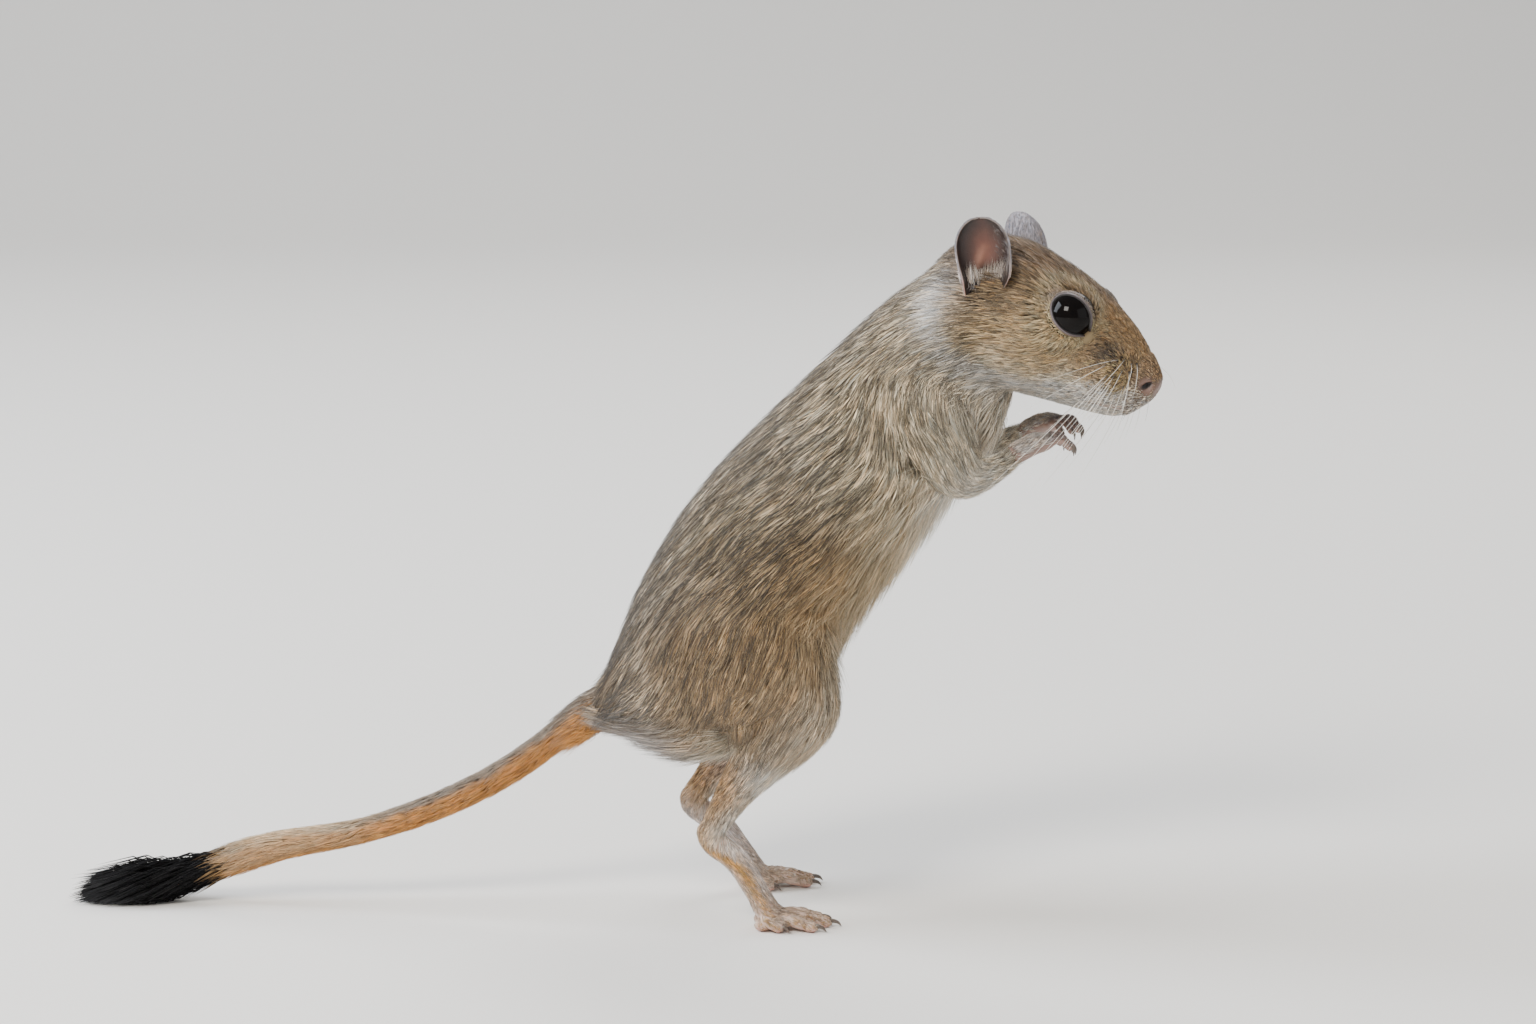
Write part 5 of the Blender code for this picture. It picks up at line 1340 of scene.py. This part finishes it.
class GERBIL_OT_coat(bpy.types.Operator):
    """Grows the coat's tufts over the skin, the lids, the paws and the ears"""

    bl_idname = "gerbil.coat"
    bl_label = "Coat"

    def execute(self, context):
        hair = coat_material("agouti_hair_keratin", 0.58, 0.82, 1.2)
        self.body_coat(hair, context.scene.gerbil_coat)
        self.lid_coat(hair)
        self.paw_coat(hair)
        self.ear_coat(hair)
        self.ear_fluff(hair)
        self.nose_coat(hair)
        return {"FINISHED"}

    def body_coat(self, hair, sizes):
        """The coat on the one skin, parted into pieces by limb and by the way along it."""
        hide = BUILT["hide"]
        dense, long, wide, high, wild = coat_fields(hide, sizes)
        surface = (hide["points"], hide["faces"], hide["normals"])
        tufts = grow(surface, hide["lie"], (dense, long, wide, high, wild), SEED)
        corners, weights = tufts["corners"], tufts["weights"]
        base, weight = at(hide["colour"], corners, weights), at(hide["weight"].T, corners, weights)
        # Guard hairs have dark ends all over but on the belly, the breast and the white of the face.
        out = at(hide["normals"], corners, weights)
        ticked = ease(-0.8, -0.1, out[:, 2] - 0.5 * out[:, 0]) * (1 - 0.8 * ease(0.5, 0.64, base.mean(axis=1)))
        limbs = weight[:, 1:5].sum(axis=1)
        dark = ticked * (0.9 - 0.78 * weight[:, 5] - 0.25 * weight[:, 6] - 0.22 * limbs) + 0.06
        base = self.pad_colours(base, to_head(tufts["roots"]))
        streak = 0.24 - 0.1 * weight[:, 6] - 0.16 * weight[:, 5] - 0.06 * limbs
        colours = tuft_colours(tufts, base, SEED + 5, dark, streak)
        main, share = weight.argmax(axis=1), hide["share"][corners[:, 0]]
        spread = np.random.default_rng(SEED + 9).uniform(-0.004, 0.004, (len(main), 2))
        atlas = np.stack([share, hide["turn"][corners[:, 0]]], axis=1) + spread
        for k, name in enumerate(hide["names"]):
            mine = np.flatnonzero(main == k)
            mine = mine[np.argsort(share[mine], kind="stable")]
            count = max(1, math.ceil(len(mine) / 32500))
            for i, part in enumerate(np.array_split(mine, count)):
                label = f"coat_{name}" + (f"_{i + 1}" if count > 1 else "")
                tuft_piece(label, tufts["shapes"][part], colours[part], atlas[part], hair)

    def pad_colours(self, base, head):
        """On the whisker pads dark and pale ochre hairs stand mixed; a random number picks each."""
        pick = np.random.default_rng(SEED + 7).random(len(head))
        away = head * (1, 0, 1) + (0, 1, 0) * np.abs(head[:, 1:2]) - np.array(WHISKER_PAD)
        pad = np.exp(-((np.linalg.norm(away, axis=1) / 3.1) ** 2))
        low = np.exp(-((np.linalg.norm(away + (-0.8, 0, 1.4), axis=1) / 3.0) ** 2))
        base = np.where((pick < 0.38 * pad)[:, None], linear("2a211a"), base)
        return np.where((pick > 1 - 0.4 * low)[:, None], linear("b59c6a"), base)

    def lid_coat(self, hair):
        """Very short hair on the lids, which lies away from the eye: cream above it, lilac grey behind and below."""
        for side, word in ((-1, "right"), (1, "left")):
            points, faces, u, corner, sides = BUILT[f"lids_{word}"]
            normals = vertex_normals(points, faces)
            centre = from_head(on_side(EYE_CENTRE, side))
            outward, forward, upward = (AXES @ axis for axis in eye_axes(side))
            lie = points - centre
            lie = lie - outward * (lie @ outward)[:, None]
            lie = unit(lie - normals * (lie * normals).sum(axis=1, keepdims=True)) - 0.45 * AXES[:, 0] * u[:, None]
            dense = 30 * ease(0.13, 0.26, u - 0.08 * corner) * (1 - ease(0.7, 0.9, u))
            fields = (dense, 0.55 + 1.1 * u, 0.12, 0.08 + 0.55 * u, 0.14)
            tufts = grow((points, faces, normals), unit(lie), fields, 71)
            corners, weights = tufts["corners"], tufts["weights"]
            place = at(points, corners, weights)
            ring = (1 - ease(0.35, 0.95, at(u, corners, weights)))[:, None]
            low = ease(-0.1, 0.6, -unit(place - centre) @ (0.5 * forward + 0.8 * upward))[:, None]
            rim = linear("b09f78") + (linear("8a807e") - linear("b09f78")) * low
            base = marking_colours(place)
            colours = tuft_colours(tufts, base + (rim - base) * 0.75 * ring, 72, 0.15 + 0 * low, 0.12)
            index = corners[:, 0]
            atlas = np.stack([u[index], (index % sides) / sides], axis=1)
            tuft_piece(f"coat_lids_{word}", tufts["shapes"], colours, atlas, hair)

    def paw_coat(self, hair):
        """Short hair on the backs of feet and hands, which lies towards the toes. A golden stripe runs down a foot's
        outer side: exp(-((turn round the foot - 0.25) / 0.75)^2)."""
        for name, rows in (
            ("foot_right", HIND_LEG), ("foot_left", mirrored(HIND_LEG, *LEFT_HIND_SHIFT)),
            ("hand_right", FORELEG), ("hand_left", mirrored(FORELEG, *LEFT_FORE_SHIFT)),
        ):
            points, faces, _ = BUILT[name]
            normals = vertex_normals(points, faces)
            foot, outer = name.startswith("foot"), -1 if name.endswith("right") else 1
            ankle = np.array(rows[-2][:3], float)
            near = (1 - ease(1.0, 6.0, ankle[2] - points[:, 2]))[:, None] if foot else 0.0
            ahead = np.array([0.75, 0, -0.65]) if foot else unit(np.subtract(rows[-1][:3], rows[-2][:3]))
            lie = ahead + near * (unit(np.subtract(rows[-2][:3], rows[-4][:3])) - ahead)
            lie = unit(lie - normals * (lie * normals).sum(axis=1, keepdims=True))
            far = ease(0.2, 0.95, np.linalg.norm(points - ankle, axis=1) / (27.0 if foot else 9.0))
            top = ease(-0.3, 0.35, normals[:, 2])
            if foot:
                top = np.maximum(top, ease(3.5, 6.0, points[:, 2]))
            dense = (17 if foot else 34) * top * (1 - 0.35 * far) + 0.01
            long = (2.9 - 1.7 * far) if foot else (2.2 - 1.3 * far)
            fields = (dense, long, 0.155 if foot else 0.12, (0.3 if foot else 0.35) * (1 - 0.5 * far), 0.16)
            tufts = grow((points, faces, normals), lie, fields, 81)
            corners, weights = tufts["corners"], tufts["weights"]
            place, out, far = at(points, corners, weights), at(normals, corners, weights), at(far, corners, weights)
            if foot:
                turn = np.arctan2(-out[:, 0] - 0.6 * out[:, 2], out[:, 1] * outer)
                gold = (np.exp(-(((turn - 0.25) / 0.7) ** 2)) * (1 - 0.5 * far))[:, None]
                base = linear("d6c9c2") + (linear("b59a80") - linear("d6c9c2")) * far[:, None]
                base = base + (linear("c99a55") - base) * gold
                above = ease(4.5, 0.0, ankle[2] - place[:, 2])[:, None]
                base = base + (marking_colours(place) - base) * 0.85 * above
            else:
                base = linear("c3b8ae") + (linear("7d6e69") - linear("c3b8ae")) * ease(0.1, 0.7, far)[:, None]
            colours = tuft_colours(tufts, base, 82, np.full(len(place), 0.25), 0.12)
            low, high = points.min(axis=0), points.max(axis=0)
            turn = np.arctan2(place[:, 1] - points[:, 1].mean(), place[:, 2] - points[:, 2].mean()) / 6.283
            atlas = np.stack([(place[:, 0] - low[0]) / (high[0] - low[0]), turn], axis=1)
            tuft_piece(f"coat_{name}", tufts["shapes"], colours, atlas, hair)

    def ear_coat(self, hair):
        """Fine down on the backs of the ears, silvery hair that lies inwards from the front edge and out of the shell,
        and loose fur over the stem."""
        for side, word in ((-1, "right"), (1, "left")):
            points, faces, rise, across = BUILT[f"ear_{word}"]
            normals = vertex_normals(points, faces)
            tipward, facing, sideways = (AXES @ on_side(axis, side) for axis in ear_axes())
            outside = (np.arange(len(points)) >= len(points) // 2).astype(float)
            rise, across = np.concatenate([rise, rise]), np.concatenate([across, across])
            front = ease(-0.35, -0.8, across) * (1 - ease(0.7, 0.95, rise))
            shell = np.exp(-(((rise - 0.1) / 0.12) ** 2))
            stem = 1 - ease(0.0, 0.22, rise)
            lie = tipward * (0.4 + outside)[:, None] + sideways * (1.3 * front * (1 - outside))[:, None]
            lie = lie + (facing * 0.3 + tipward) * (shell * (1 - outside))[:, None]
            lie = unit(lie - normals * (lie * normals).sum(axis=1, keepdims=True) + 1e-6)
            within = 11 * front + 2.5 * shell
            dense = np.where(outside > 0.5, 13 * (1 - 0.5 * ease(0.3, 1, rise)) + 10 * stem, within)
            dense = np.where((rise < -0.14) | (np.abs(across) > 0.97), 0, dense)
            long = 1.5 + 1.3 * front + 1.2 * shell + 2.0 * stem * outside
            fields = (dense, long * (1 - 0.45 * ease(0.6, 1, rise)), 0.07 + 0.05 * outside + 0.05 * stem, 0.07 + 0.2 * shell + 0.5 * stem, 0.16)
            tufts = grow((points, faces, normals), lie, fields, 91, pull=0.35)
            corners, weights = tufts["corners"], tufts["weights"]
            outside, rise, across, stem = (at(field, corners, weights) for field in (outside, rise, across, stem))
            foot = (1 - ease(0.05, 0.45, rise))[:, None]
            down = linear("8b8588") + (linear("c9b8ae") - linear("8b8588")) * foot
            base = np.where(outside[:, None] > 0.5, down, linear("756c69"))
            base = base + (linear("c0b5a8") - base) * (stem * (0.4 + 0.6 * outside))[:, None]
            colours = tuft_colours(tufts, base, 92, 0.3 * outside, 0.25)
            atlas = np.stack([rise, across + 2.2 * outside], axis=1)
            tuft_piece(f"coat_ear_{word}", tufts["shapes"], colours, atlas, hair)

    def ear_fluff(self, hair):
        """Long pale fur that stands round the foot of each ear, on the skin within 6 mm of the ear's notch."""
        hide = BUILT["hide"]
        head = to_head(hide["points"])
        for side, word in ((-1, "right"), (1, "left")):
            tipward, facing, _ = (AXES @ on_side(axis, side) for axis in ear_axes())
            away = head - on_side(EAR_NOTCH, side) - (-1.0, 0, -0.5)
            near = np.exp(-((np.linalg.norm(away * (0.8, 0.6, 1.3), axis=1) / 3.4) ** 2)) * ease(0.5, -1.5, away[:, 0])
            normals = hide["normals"]
            lie = 0.9 * hide["lie"] + 0.5 * tipward + 0.3 * facing
            lie = unit(lie - normals * (lie * normals).sum(axis=1, keepdims=True))
            dense = np.where(near > 0.06, 15 * near, 0)
            fields = (dense, 3.2 + 1.6 * near, 0.16, 0.5 + 2.0 * near, 0.28)
            tufts = grow((hide["points"], hide["faces"], normals), lie, fields, 111, pull=0.45)
            corners, weights = tufts["corners"], tufts["weights"]
            base, shown = at(hide["colour"], corners, weights), at(near, corners, weights)[:, None]
            base = base + (linear("d3ccc2") - base) * np.clip(1.2 * shown, 0, 0.9)
            index = corners[:, 0]
            atlas = np.stack([hide["share"][index], hide["turn"][index]], axis=1)
            colours = tuft_colours(tufts, base, 112, np.full(len(base), 0.4), 0.22)
            tuft_piece(f"coat_ear_foot_{word}", tufts["shapes"], colours, atlas, hair)

    def nose_coat(self, hair):
        """The finest hair of all, on the snout's end up to the bare skin round the nostrils."""
        points, faces, bare = BUILT["nose"]
        normals = vertex_normals(points, faces)
        head = to_head(points)
        lie = np.tile(-AXES[:, 0], (len(points), 1))
        lie = unit(lie - normals * (lie * normals).sum(axis=1, keepdims=True) + 1e-6)
        far = ease(-0.6, -5.0, head[:, 0])
        fields = (42 * (1 - ease(0.1, 0.7, bare)), 0.55 + 0.6 * far, 0.1 + 0.03 * far, 0.07 + 0.1 * far, 0.12)
        tufts = grow((points, faces, normals), lie, fields, 101)
        corners, weights = tufts["corners"], tufts["weights"]
        place, bare = at(points, corners, weights), at(bare, corners, weights)[:, None]
        base = marking_colours(place)
        base = base + (linear("7b6a5c") - base) * np.maximum(0.25, bare)
        atlas = np.stack([head[corners[:, 0], 0], corners[:, 0] % 160 / 160], axis=1)
        tuft_piece("coat_nose", tufts["shapes"], tuft_colours(tufts, base, 102, 0.35 + 0 * bare), atlas, hair)


class GERBIL_OT_brush(bpy.types.Operator):
    """Grows the black brush at the tail's end"""

    bl_idname = "gerbil.brush"
    bl_label = "Tail Brush"

    def execute(self, context):
        draw = np.random.default_rng(SEED + 20)
        samples = spline(TAIL, 400)
        count = 5600
        share = 0.75 + 0.245 * draw.random(count) ** 0.8
        index = (share * 399).astype(int)
        middle, along = samples[:, :3][index], unit(np.gradient(samples[:, :3], axis=0))[index]
        side = unit(np.cross(along, (0, 0, 1)))
        above = np.cross(side, along)
        turn = draw.uniform(0, 2 * np.pi, count)
        out = side * np.cos(turn)[:, None] + above * np.sin(turn)[:, None]
        grown = ease(0.75, 0.9, share)
        length = (4.2 + 8.6 * grown) * draw.uniform(0.4, 1.25, count) * (1 - 0.45 * ease(0.86, 1.0, share))
        splay = np.radians(6 + 11 * grown) * draw.uniform(0.1, 2.2, count)
        roots = middle + out * (samples[:, 4][index] * 0.75)[:, None]
        mids = roots + (along * np.cos(splay)[:, None] + out * np.sin(splay)[:, None]) * (length * 0.5)[:, None]
        sway = 0.06 * ripple(roots, 4.0, SEED + 21)[:, None] * side
        droop = np.array([0, 0, -0.04]) * (length**1.4)[:, None]
        tips = mids + (along + sway * 3 + out * np.sin(splay * 0.4)[:, None]) * (length * 0.5)[:, None] + droop
        for ring in (roots, mids, tips):
            ring[:, 2] = np.maximum(ring[:, 2], 0.3 + 0.5 * draw.random(count) * (ring is not roots))
        wide = draw.uniform(0.2, 0.4, count)
        sandy, black = linear("a8865c"), linear("080708")
        base = sandy + (black - sandy) * ease(0.75, 0.79, share + draw.normal(0, 0.012, count))[:, None]
        shade = np.exp(draw.normal(0, 0.35, count))[:, None]
        mid = base * shade
        # Each hair is darker at its root, painted shade within the brush, and paler at its tip.
        colours = np.stack([base * 0.7, mid, mid, mid, mid * 1.3], axis=1)
        shapes = tuft_arrays(roots, out, mids, tips, wide)
        atlas = np.stack([share, turn / (2 * np.pi)], axis=1)
        hair = coat_material("black_hair_keratin", 0.6, 0.8, 1.25, 0.08)
        tuft_piece("coat_tail_brush", shapes, colours, atlas, hair, ["tail_brush"])
        return {"FINISHED"}


class GERBIL_OT_whiskers(bpy.types.Operator):
    """Sets the whiskers in their rows on the muzzle"""

    bl_idname = "gerbil.whiskers"
    bl_label = "Whiskers"

    def execute(self, context):
        looks = context.scene.gerbil_looks
        draw = np.random.default_rng(SEED + 30)
        # Whisker keratin: stiff, smooth, nearly white or brown, dark where it leaves the skin.
        stiff, tree, shader = shader_of("whisker_keratin", Roughness=0.35)
        colour = node(tree, "ShaderNodeAttribute", attribute_name="Coat")
        tree.links.new(colour.outputs["Color"], shader.inputs["Base Color"])
        rows = np.array(HEAD)[::-1]
        parts, tints = [], []
        t = np.concatenate([np.linspace(0, 0.09, 4), np.linspace(0.16, 1, 12)])
        for side in (1, -1):
            for k in range(looks.whiskers):
                row, place = k % 5, draw.uniform(0.0, 1.0)
                x, z = -4.4 - 5.0 * place + draw.normal(0, 0.2), 1.9 - 1.25 * row + draw.normal(0, 0.25)
                top, bottom, half, middle = (np.interp(x, rows[:, 0], rows[:, i]) for i in (1, 2, 3, 4))
                rise = (z - middle) / (top - middle if z > middle else middle - bottom)
                root = np.array([x, half * math.sqrt(max(0.1, 1 - rise**2)) - 0.1, z])
                long = looks.whisker / MM * (0.42 + 0.45 * place) * draw.uniform(0.6, 1.15)
                way = unit([0.45 - 0.85 * place, 0.70, -0.12 - 0.3 * row + draw.normal(0, 0.08)])
                bend = np.array([-0.28, -0.2, -0.42 + draw.normal(0, 0.08)])
                path = root + long * (way * t[:, None] + bend * t[:, None] ** 2 / 2)
                thick = 0.042 * (1 - t) ** 0.8 + 0.012 + 0.2 * np.exp(-((t * long / 0.45) ** 2))
                path = from_head(path * (1, side, 1))
                parts.append(closed_tube(loft(np.column_stack([path, thick, thick]), 22, 6, across=tuple(AXES[:, 2]))[0]))
                pale = linear("e4ded4") if draw.random() > 0.3 else linear("57483a")
                at_root = np.exp(-((np.linspace(0, long, 22) / 1.4) ** 2))[:, None]
                tint = pale + (linear("1d1612") - pale) * at_root
                tints.append(np.concatenate([np.repeat(tint, 6, axis=0), tint[:1], tint[-1:]]))
        made = piece("whiskers", *gathered(parts), stiff, "coat")
        paint(made.data, np.concatenate(tints))
        return {"FINISHED"}


class GERBIL_OT_stage(bpy.types.Operator):
    """Lays the floor, sets soft lamps and aims the camera"""

    bl_idname = "gerbil.stage"
    bl_label = "Stage"

    def execute(self, context):
        # Matt painted board: even, pale, with a faint tooth 0.6 mm across.
        paper, tree, shader = shader_of("matt_painted_board", Roughness=0.85, Specular_IOR_Level=0.2)
        place = node(tree, "ShaderNodeTexCoord")
        tooth = node(tree, "ShaderNodeTexNoise", {"Vector": (place, "Object"), "Scale": 1600.0})
        ramp = node(tree, "ShaderNodeValToRGB", {"Fac": (tooth, "Fac")})
        tone = np.array(context.scene.gerbil_looks.floor)
        ramp.color_ramp.elements[0].color = (*(tone * 0.97), 1)
        ramp.color_ramp.elements[1].color = (*tone, 1)
        tree.links.new(ramp.outputs["Color"], shader.inputs["Base Color"])
        across, run = np.meshgrid(np.linspace(-1.8, 1.8, 30), np.linspace(-1.6, 2.35, 80), indexing="ij")
        back = np.maximum(run - 1.1, 0)
        height = np.where(back < 0.5, 0.5 - np.sqrt(np.maximum(0.25 - np.minimum(back, 0.5) ** 2, 0)), 0.5 + (back - 0.5) * 3)
        depth = np.minimum(run, 1.6)
        points = np.stack([across, depth, height - 0.00005], axis=-1).reshape(-1, 3)
        mesh = bpy.data.meshes.new("floor")
        mesh.from_pydata(points.tolist(), [], ring_faces(30, 80, wrap=False).tolist())
        mesh.shade_smooth()
        mesh.materials.append(paper)
        floor = bpy.data.objects.new("floor", mesh)
        context.scene.collection.objects.link(floor)
        aim = Vector((np.array([-5.8, 0, 73.4]) - ORIGIN) * MM)
        for name, place, energy, size, tint in (
            ("lamp_key", (-0.42, -0.78, 0.85), 15.0, 0.4, "fffaf2"),
            ("lamp_window", (-1.0, 0.1, 0.75), 26.0, 0.8, "eef5ff"),
            ("lamp_fill", (0.95, -0.65, 0.35), 2.5, 0.9, "ffffff"),
            ("lamp_rim", (0.3, 0.75, 0.85), 7.0, 0.6, "ffffff"),
        ):
            data = bpy.data.lights.new(name, "AREA")
            data.energy, data.size, data.color = energy, size, linear(tint)
            lamp = bpy.data.objects.new(name, data)
            lamp.matrix_world = Matrix.Translation(place) @ (Vector(place) - aim).to_track_quat("Z", "Y").to_matrix().to_4x4()
            context.scene.collection.objects.link(lamp)
        world = bpy.data.worlds.new("studio")
        world.use_nodes = True
        world.node_tree.nodes["Background"].inputs["Color"].default_value = (*linear("eceef0"), 1)
        world.node_tree.nodes["Background"].inputs["Strength"].default_value = 0.45
        context.scene.world = world
        data = bpy.data.cameras.new("camera")
        data.lens, data.sensor_width, data.sensor_fit = 100, 36, "HORIZONTAL"
        data.clip_start, data.clip_end = 0.01, 20
        camera = bpy.data.objects.new("camera", data)
        eye = Vector((np.array([-5.8, -756.33, 206.76]) - ORIGIN) * MM)
        camera.matrix_world = Matrix.Translation(eye) @ (eye - aim).to_track_quat("Z", "Y").to_matrix().to_4x4()
        context.scene.collection.objects.link(camera)
        context.scene.camera = camera
        return {"FINISHED"}


STEPS = (
    GERBIL_OT_hide, GERBIL_OT_eyes, GERBIL_OT_ears, GERBIL_OT_paws, GERBIL_OT_nose, GERBIL_OT_coat, GERBIL_OT_brush,
    GERBIL_OT_whiskers, GERBIL_OT_stage,
)


class GERBIL_PT_panel(bpy.types.Panel):
    """Lists the sizes and the steps in the order in which they run"""

    bl_idname = "GERBIL_PT_panel"
    bl_label = "Standing Gerbil"
    bl_space_type = "VIEW_3D"
    bl_region_type = "UI"
    bl_category = "Gerbil"

    def draw(self, context):
        for group in (context.scene.gerbil_coat, context.scene.gerbil_looks):
            for name in group.bl_rna.properties.keys():
                if name not in ("rna_type", "name"):
                    self.layout.prop(group, name)
        for step in STEPS:
            self.layout.operator(step.bl_idname)


CLASSES = (GERBIL_PG_coat, GERBIL_PG_looks, *STEPS, GERBIL_PT_panel)


def register():
    for each in CLASSES:
        bpy.utils.register_class(each)
    bpy.types.Scene.gerbil_coat = PointerProperty(type=GERBIL_PG_coat)
    bpy.types.Scene.gerbil_looks = PointerProperty(type=GERBIL_PG_looks)


def unregister():
    del bpy.types.Scene.gerbil_coat
    del bpy.types.Scene.gerbil_looks
    for each in reversed(CLASSES):
        bpy.utils.unregister_class(each)


def main():
    register()
    BUILT["depth"] = bpy.context.scene.gerbil_coat.depth / MM
    for step in STEPS:
        family, name = step.bl_idname.split(".")
        getattr(getattr(bpy.ops, family), name)()
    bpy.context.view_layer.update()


if __name__ == "__main__":
    main()
